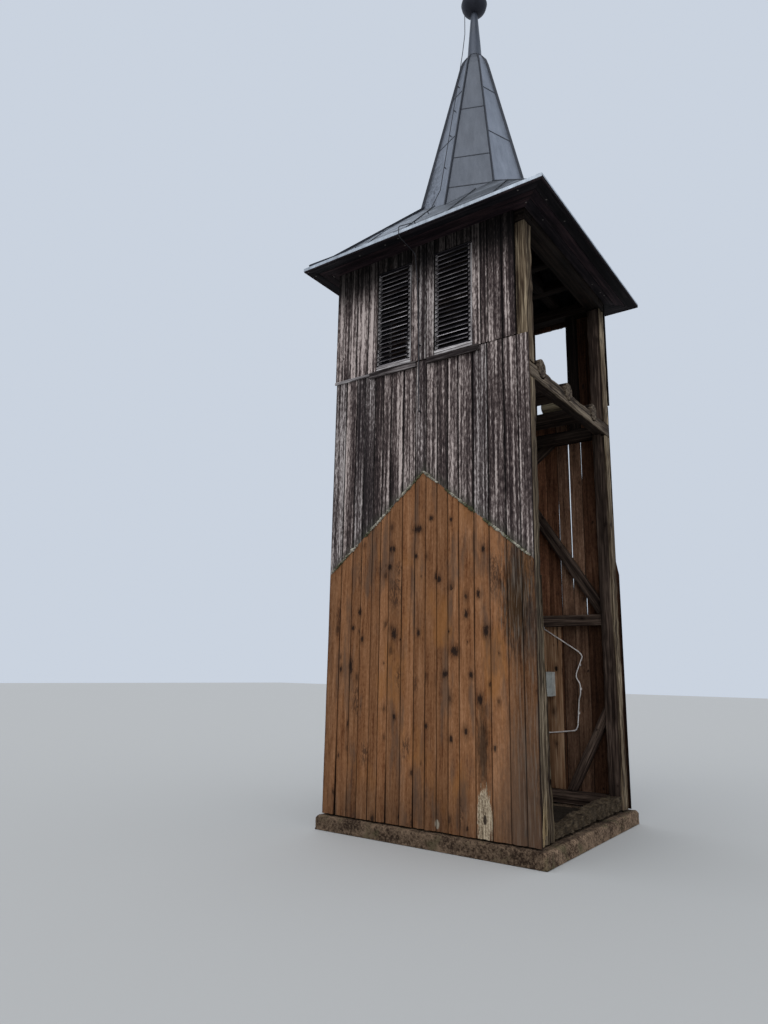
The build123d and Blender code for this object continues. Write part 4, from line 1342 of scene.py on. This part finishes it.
# brightness of the spire's eight sides, painted light and shade
spire_painted_side_light = (0.80, 0.92, 0.44, 1.00, 0.75, 0.90, 0.60, 0.85)      # eight sides, turning from -X over -Y
skirt_finish = sheet_finish("skirt_sheet", (0.15, 0.17, 0.20), (0.50, 0.54, 0.60), boarded=True,
                            painted_sheen_foot=True)
spire_finish = sheet_finish("spire_sheet", (0.165, 0.184, 0.222), (0.310, 0.338, 0.395),
                            painted_side_light=spire_painted_side_light, boarded=True)
neck_finish = sheet_finish("neck_sheet", (0.040, 0.047, 0.062), (0.082, 0.094, 0.120), 0.38, 0.5)
seam_finish = sheet_finish("seam_sheet", (0.026, 0.029, 0.038), (0.056, 0.062, 0.078), 0.5, 0.3)
drip_finish = sheet_finish("drip_sheet", (0.28, 0.31, 0.35), (0.66, 0.72, 0.79), 0.42, 0.4)
ball_finish = sheet_finish("ball_metal", (0.008, 0.009, 0.015), (0.030, 0.032, 0.044), 0.42, 0.6)
wire_finish = sheet_finish("wire_metal", (0.012, 0.012, 0.016), (0.036, 0.036, 0.042), 0.5, 0.3)


# %% Roof and conductor
def dress(name, finish):
    """Give a piece of the frame a finish, and leave its shape alone."""
    nodes[name].data.materials.clear()
    nodes[name].data.materials.append(finish)


skirt_sides = ["skirt_roof_" + side for side in ("front", "right", "back", "left")]
for name in skirt_sides:
    dress(name, skirt_finish)
for name, finish in (("spire", spire_finish), ("spire_seams", seam_finish), ("conductor", wire_finish),
                     ("conductor_clips", wire_finish)):
    dress(name, finish)
print("sides of the skirt:", skirt_sides)

# %% [markdown]
# ### Seams of the roof
# Sheets are hooked into each other, and the fold stands out of the roof. A fold is made from the roof
# itself: its outer faces are cut by two planes, only the narrow strip between them is kept, and that
# strip is pulled out of the surface. So it follows every bend of the roof.


# %% Pulled seams
seam_foot = 6.34        # seams end here, just above the skirt's lower edge


def add_seam(piece, names, normal, place, half_width, height, keep=None):
    """A fold along the plane at place, with a half width and a height above the sheet."""
    sheet = copy_of(*names)
    buried = [face for face in sheet.faces
              if face.normal.z < 0.03 or (keep and not keep(face.calc_center_median()))]
    bmesh.ops.delete(sheet, geom=buried, context="FACES")
    limits = [(normal * (place + way * half_width), normal * way) for way in (1, -1)]
    for point, way in (*limits, (Vector((0, 0, seam_foot)), Vector((0, 0, -1)))):
        bmesh.ops.bisect_plane(sheet, geom=[*sheet.verts, *sheet.edges, *sheet.faces], dist=1e-6,
                               clear_outer=True, plane_co=point, plane_no=way)
    sheet.normal_update()
    made = bmesh.ops.extrude_face_region(sheet, geom=sheet.faces[:], use_keep_orig=True)
    sheet_normals = {vertex: vertex.normal.copy() for vertex in sheet.verts}
    for item in made["geom"]:
        if isinstance(item, bmesh.types.BMVert):
            item.co += sheet_normals[item] * height
    bmesh.ops.recalc_face_normals(sheet, faces=sheet.faces)
    strip = bpy.data.meshes.new("strip")
    sheet.to_mesh(strip)
    sheet.free()
    piece.from_mesh(strip)
    bpy.data.meshes.remove(strip)


def side_of(centre, sides):
    """Whether a point lies in one of the spire's sides, counted from -X over -Y."""
    turned = (math.atan2(centre.y, centre.x) + math.pi) / (2 * math.pi)
    return int(turned * len(spire_painted_side_light)) % len(spire_painted_side_light) in sides


# %% Cross seams of the spire
upright = Vector((0, 0, 1))
cross_fold = (0.006, 0.004)         # half width and height
even_sides = (0, 2, 4, 6)
odd_sides = (1, 3, 5, 7)
cross_seams = {7.29: even_sides, 7.78: even_sides, 8.63: even_sides, 8.19: odd_sides, 9.01: odd_sides}
spire_folds = new_piece()
for seam_height, sides in cross_seams.items():
    add_seam(spire_folds, ["spire"], upright, seam_height, *cross_fold,
             keep=lambda centre: side_of(centre, sides))
finish_piece(spire_folds, "spire_cross_seams", [seam_finish])

# %% Hips and folds of the skirt
hip_folds = ((0.012, 0.006), (0.016, 0.016), (0.016, 0.016), (0.020, 0.026))    # from the front right hip on
skirt_folds = new_piece()
for quarter, fold in enumerate(hip_folds):
    across_hip = quarter_turn(quarter) @ Vector((1, 1, 0)).normalized()
    along_hip = quarter_turn(quarter) @ Vector((1, -1, 0)).normalized()
    add_seam(skirt_folds, [skirt_sides[quarter], skirt_sides[(quarter + 1) % 4]], across_hip, 0.0, *fold,
             keep=lambda centre: centre.dot(along_hip) > 0)
finish_piece(skirt_folds, "skirt_hips", [seam_finish])

level_place = 1.26
level_fold = (0.007, 0.004)
rib_places = (-0.78, -0.24, 0.31, 0.86)
rib_fold = (0.004, 0.012)
skirt_lines = new_piece()
for quarter, name in enumerate(skirt_sides):
    outwards = quarter_turn(quarter) @ Vector((0, -1, 0))
    sideways = quarter_turn(quarter) @ Vector((1, 0, 0))
    add_seam(skirt_lines, [name], outwards, level_place, *level_fold)
    for place in rib_places:
        add_seam(skirt_lines, [name], sideways, place, *rib_fold)
finish_piece(skirt_lines, "skirt_seams", [skirt_finish])

# %% [markdown]
# ### Eaves
# Under the eaves, boards run parallel to the roof's edge and meet in mitres at the corners. Each is a
# box that two slanting planes cut off. A zinc strip closes the edge, deep on three sides and narrow on
# the open side.


# %% Mitred strips
def add_mitred(piece, quarter, reach, width, z, dice, easing=0.002):
    """A strip along one side of a square, from reach inwards by width, cut at 45 degrees."""
    add_box(piece, (-reach, reach), (-reach, -reach + width), z)
    for way in (1, -1):
        cut = bmesh.ops.bisect_plane(piece, geom=geometry_of(fresh_part(piece)), dist=1e-6, clear_outer=True,
                                     plane_co=(0, 0, 0), plane_no=(way, 1, 0))
        rim_edges = [item for item in cut["geom_cut"] if isinstance(item, bmesh.types.BMEdge)]
        bmesh.ops.edgenet_fill(piece, edges=rim_edges)
    ease(piece, edges_of(fresh_part(piece)), easing)
    cut_along(piece, 0, [-1.2 + 0.4 * number for number in range(7)])
    fresh = fresh_part(piece)
    store_grain(piece, fresh, dice)
    bmesh.ops.rotate(piece, verts=fresh, cent=(0, 0, 0), matrix=quarter_turn(quarter))


# %% Finish of the eaves
def eaves_wood(name):
    """Near black boards with a few pale specks. Some boards are redder."""
    material, tree, shader = new_finish(name, 0.8)
    grain, tone = grain_and_tone(tree)
    value, layers = layered(tree, grain, frame_layers)
    # the near black colour also paints the shade under the eaves
    colour = dimmed(tree, shades(tree, value, painted_shade_dark_wood), between(tree, tone, 0.0, 1.0, 0.6, 1.4))
    red = between(tree, reshuffled(tree, tone, 3.7), 0.3, 0.8)
    colour = mixed(tree, red, colour, (1.45, 0.88, 0.90, 1), "MULTIPLY")
    distance, cell_colour = cells(tree, stretch(tree, place_of(tree), (5.5, 5.5, 0)))
    lucky = between(tree, parts_of(tree, cell_colour)["X"], 0.74, 0.76)
    speck = times(tree, between(tree, distance, 0.035, 0.060, 1.0, 0.0), lucky)
    colour = mixed(tree, times(tree, speck, 0.8), colour, (0.160, 0.145, 0.135, 1))
    feed(tree, shader.inputs["Base Color"], colour)
    relief(tree, shader, plus(tree, layers[0], layers[1]), 0.0014)
    return material


eaves_finish = eaves_wood("eaves_wood")

# %% Soffit, fascia and drip strip
soffit_low, soffit_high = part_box("soffit")
eaves_board = 0.104
eaves_joint = 0.004
dice = random.Random(23)
soffit_boards = new_piece()
for quarter in range(4):
    for ring in range(3):
        reach = soffit_high.x - ring * eaves_board
        drop = dice.uniform(0.0, 0.002)
        add_mitred(soffit_boards, quarter, reach, eaves_board - eaves_joint,
                   (soffit_low.z + drop, soffit_high.z), dice)
finish_piece(soffit_boards, "soffit_boards", [eaves_finish], ["soffit"])

fascia_low, fascia_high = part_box("fascia")
fascia_thick = 0.022
fascia_boards = new_piece()
for quarter in range(4):
    add_mitred(fascia_boards, quarter, fascia_high.x, fascia_thick,
               (fascia_low.z, fascia_high.z - 0.014), dice)
finish_piece(fascia_boards, "fascia_boards", [eaves_finish], ["fascia"])

drip_thick = 0.003
drip_depths = (0.036, 0.020, 0.036, 0.036)      # front, right, back and left
drip_strip = new_piece()
for quarter, depth in enumerate(drip_depths):
    add_mitred(drip_strip, quarter, fascia_high.x + drip_thick, drip_thick,
               (fascia_high.z - depth, fascia_high.z + 0.001), dice, easing=0.0006)
finish_piece(drip_strip, "drip_edge", [drip_finish])

# %% [markdown]
# ### Neck and ball
# Both are round, so each is an outline that is spun once about the mast. The neck tapers from a thin rim
# at its foot, and a thin bead runs round the middle of the ball, where its two halves meet.

# %% Neck and ball
neck_low, neck_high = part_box("neck")
ball_low, ball_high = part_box("ball")
neck_outline = [(neck_high.x + 0.004, neck_low.z), (neck_high.x + 0.002, neck_low.z + 0.030),
                (0.093, neck_low.z + 0.045), (0.078, neck_low.z + 0.27), (0.060, neck_low.z + 0.52),
                (0.046, neck_high.z - 0.012), (0.046, neck_high.z + 0.012)]
ball_middle = (ball_low.z + ball_high.z) / 2
ball_tall = (ball_high.z - ball_low.z) / 2
ball_wide = ball_high.x
ball_bead = 0.004
ball_steps = 24
ball_outline = []
for number in range(ball_steps + 1):
    way = math.pi * (number / ball_steps - 0.5)
    proud = ball_bead if number == ball_steps // 2 else 0.0
    ball_outline.append(((ball_wide - ball_bead) * math.cos(way) + proud,
                         ball_middle + ball_tall * math.sin(way)))


def spun(name, outline, finish, replaced):
    """An outline of (radius, height) points, turned once about the mast."""
    piece = new_piece()
    points = [piece.verts.new((max(radius, 0.0), 0, height_there)) for radius, height_there in outline]
    edges = [piece.edges.new(pair) for pair in zip(points, points[1:])]
    bmesh.ops.spin(piece, geom=[*points, *edges], cent=(0, 0, 0), axis=(0, 0, 1), angle=2 * math.pi, steps=48,
                   use_merge=True)
    bmesh.ops.remove_doubles(piece, verts=piece.verts, dist=1e-5)
    open_edges = [edge for edge in piece.edges if edge.is_boundary]
    if open_edges:
        bmesh.ops.holes_fill(piece, edges=open_edges, sides=0)
    bmesh.ops.recalc_face_normals(piece, faces=piece.faces)
    return finish_piece(piece, name, [finish], replaced, smooth_angle=50)


spun("neck_turned", neck_outline, neck_finish, ["neck"])
spun("ball_turned", ball_outline, ball_finish, ["ball"])
print("ball is", round(2 * ball_wide, 3), "m wide")

# %% [markdown]
# ## Louvre windows
# A louvre is a pale frame with slanting slats that are let into its sides. The slats are nearly black,
# which also paints the shade in the window, and their pale front edges are partly wear and partly painted
# light. Their ends stand in front of the frame like the teeth of a saw and stay dark, as painted shade.
# A wall's louvres are made as if at the front and then turned, as its boards are.

# %% Slats
slat_count = 22
slat_thick = 0.0055
slat_deep = 0.064
slat_lean = math.radians(50)
louvre_deep = 0.046
side_widths = (0.030, 0.048)        # of the frame's left and right sides
side_setback = 0.016
foot_rail = 0.055
# near black slats, whose colour also paints the shade inside the window
slat_finish = timber_finish("slat_wood", painted_shade_dark_wood, knots=1.0)
# pale front edges: partly wear, partly painted light; they darken towards the top as painted shade
slat_edge_wear_and_light_shades = [(0.43, (0.045, 0.040, 0.043)), (0.50, (0.230, 0.210, 0.218)),
                    (0.57, (0.660, 0.610, 0.620))]
slat_edge_wear_and_light_finish = timber_finish("slat_edges_wear_and_light", slat_edge_wear_and_light_shades, knots=1.0,
                                 heights=[(0.0, 1.2), (5.65, 1.2), (6.05, 0.40)])
print("slats in a window:", slat_count)

# %% One louvred window
def faces_of(points):
    return {face for vertex in points for face in vertex.link_faces}


def add_timber(piece, x, y, z, easing, dice, cuts=(), finish=0):
    """A small squared timber with eased edges and its own grain, cut across at some places."""
    add_box(piece, x, y, z)
    ease(piece, edges_of(fresh_part(piece)), easing)
    cut_along(piece, 0, cuts)
    fresh = fresh_part(piece)
    store_grain(piece, fresh, dice)
    for face in faces_of(fresh):
        face.material_index = finish
    return fresh


def add_louvre(piece, low, high, dice):
    """One louvred window between two limits along the wall. Materials: slats, their edges, the frame."""
    front, back = -upper_outer, -upper_outer + louvre_deep
    for x in ((low, low + side_widths[0]), (high - side_widths[1], high)):
        add_timber(piece, x, (front + side_setback, back), (window_low, window_high), 0.002, dice, finish=2)
    add_timber(piece, (low, high), (front - 0.004, back), (window_low + 0.004, window_low + foot_rail),
               0.003, dice, finish=2)
    add_timber(piece, (low, high), (front + 0.004, back), (window_high - 0.012, window_high), 0.002, dice)
    pitch = (window_high - window_low - foot_rail) / slat_count
    worn_and_lit_span = (low + side_widths[0] + 0.002, high - side_widths[1] - 0.002)
    for number in range(slat_count):
        lean = slat_lean + math.radians(dice.uniform(-2.5, 2.5))
        sag = dice.uniform(-0.003, 0.003)
        fresh = add_timber(piece, (low + 0.010, high - side_widths[1] + 0.024), (0, slat_deep),
                           (-slat_thick / 2, slat_thick / 2), 0.0012, dice, worn_and_lit_span)
        for face in faces_of(fresh):
            centre = face.calc_center_median()
            # front faces between the frame's sides get the pale edge; the ends over the frame stay dark as
            # painted shade
            worn = worn_and_lit_span[0] < centre.x < worn_and_lit_span[1]
            face.material_index = 1 if worn and (face.normal.y < -0.5 or centre.y < 0.001) else 0
        bmesh.ops.rotate(piece, verts=fresh, cent=(0, 0, 0), matrix=Matrix.Rotation(lean, 3, "X"))
        seat = (0, front - 0.004 + dice.uniform(0, 0.003), window_low + foot_rail + pitch * number + sag)
        bmesh.ops.translate(piece, verts=fresh, vec=seat)


def add_louvres(name, quarter, seed):
    """The louvred windows of one wall."""
    piece = new_piece()
    dice = random.Random(seed)
    for low, high in windows_of(name, quarter):
        add_louvre(piece, low, high, dice)
    piece.normal_update()
    turn_piece(piece, quarter)
    finishes = [slat_finish, slat_edge_wear_and_light_finish, louvre_finish]
    return finish_piece(piece, name + "_slatted", finishes, [name])


for name, quarter, seed in (("front_louvres", 0, 83), ("left_louvres", 3, 84), ("back_louvre", 2, 85)):
    add_louvres(name, quarter, seed)

# %% Window sills
sill_shades = [(0.42, (0.010, 0.007, 0.007)), (0.50, (0.040, 0.032, 0.031)), (0.57, (0.210, 0.185, 0.180))]
sill_finish = timber_finish("sill_wood", sill_shades, knots=0.9)
hew("window_sills", sill_finish, depth=0.010, round_off=0.004, step=0.03, wave=14.0,
    seed=86)

# %% [markdown]
# ## Base
# The base is old concrete, coarse and crumbled at its edges. A copy of it is cut into a grid and its
# points are pulled in. The floor inside is bare and dark with earth.


# %% Concrete
def stone_finish(name, dark, light, moss):
    """Coarse, dirty concrete or earth. It is brighter on the open side, which faces the light."""
    material, tree, shader = new_finish(name, 0.95)
    place = place_of(tree)
    clouds = grainy(tree, place, 3.5, 6, 0.65)
    grit = grainy(tree, place, 48, 4, 0.75)
    value = plus(tree, times(tree, clouds, 0.45), times(tree, grit, 0.55))
    colour = shades(tree, value, [(0.42, dark), (0.58, light)])
    green = times(tree, between(tree, grainy(tree, place, 6, 4, 0.6), 0.50, 0.66), 0.6)
    colour = mixed(tree, green, colour, moss)
    colour = dimmed(tree, colour, between(tree, parts_of(tree, place)["X"], 1.215, 1.255, 0.95, 1.75))
    feed(tree, shader.inputs["Base Color"], colour)
    relief(tree, shader, plus(tree, grit, clouds), 0.008)
    return material


plinth_finish = stone_finish("plinth_stone", (0.028, 0.017, 0.011), (0.190, 0.130, 0.086),
                             (0.062, 0.054, 0.028, 1))
floor_earth = stone_finish("floor_earth", (0.014, 0.010, 0.007), (0.050, 0.038, 0.028),
                           (0.028, 0.024, 0.016, 1))
dress("floor_slab", floor_earth)

plinth_low, plinth_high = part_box("plinth")
plinth = copy_of("plinth")
ease_edges(plinth, 0.016)
grid_pitch = 0.055
grid_places = [plinth_low.x + grid_pitch * number for number in range(1, int(2 * plinth_high.x / grid_pitch))]
cut_along(plinth, 0, grid_places)
cut_along(plinth, 1, grid_places)
cut_along(plinth, 2, [plinth_high.z * share for share in (0.3, 0.6, 0.85)])
plinth.normal_update()
pull_in([vertex for vertex in plinth.verts if vertex.co.z > 0.01], 0.016, 9.0, Vector((4, 5, 6)))
split_large_faces(plinth)
finish_piece(plinth, "plinth_cast", [plinth_finish], ["plinth"])

# %% [markdown]
# ## Box and cable
# The box and the white cable on the back wall are plain plastic, a little dusty. Their shapes are right
# in the frame already, so they only get a finish.

# %% Box and cable
def plastic_finish(name, colour, rough=0.5):
    material, tree, shader = new_finish(name, rough)
    place = place_of(tree)
    dust = grainy(tree, place, 14, 4, 0.6)
    dirty = tuple(0.6 * value for value in colour)
    feed(tree, shader.inputs["Base Color"], shades(tree, dust, [(0.3, dirty), (0.6, colour)]))
    relief(tree, shader, grainy(tree, place, 160, 2), 0.0003)
    return material


sheath_finish = plastic_finish("cable_sheath", (0.94, 0.88, 0.84))
dress("meter_box", plastic_finish("box_plastic", (0.66, 0.68, 0.64)))
dress("cable", sheath_finish)
dress("cable_clips", sheath_finish)
print("plain plastic:", sheath_finish.name)
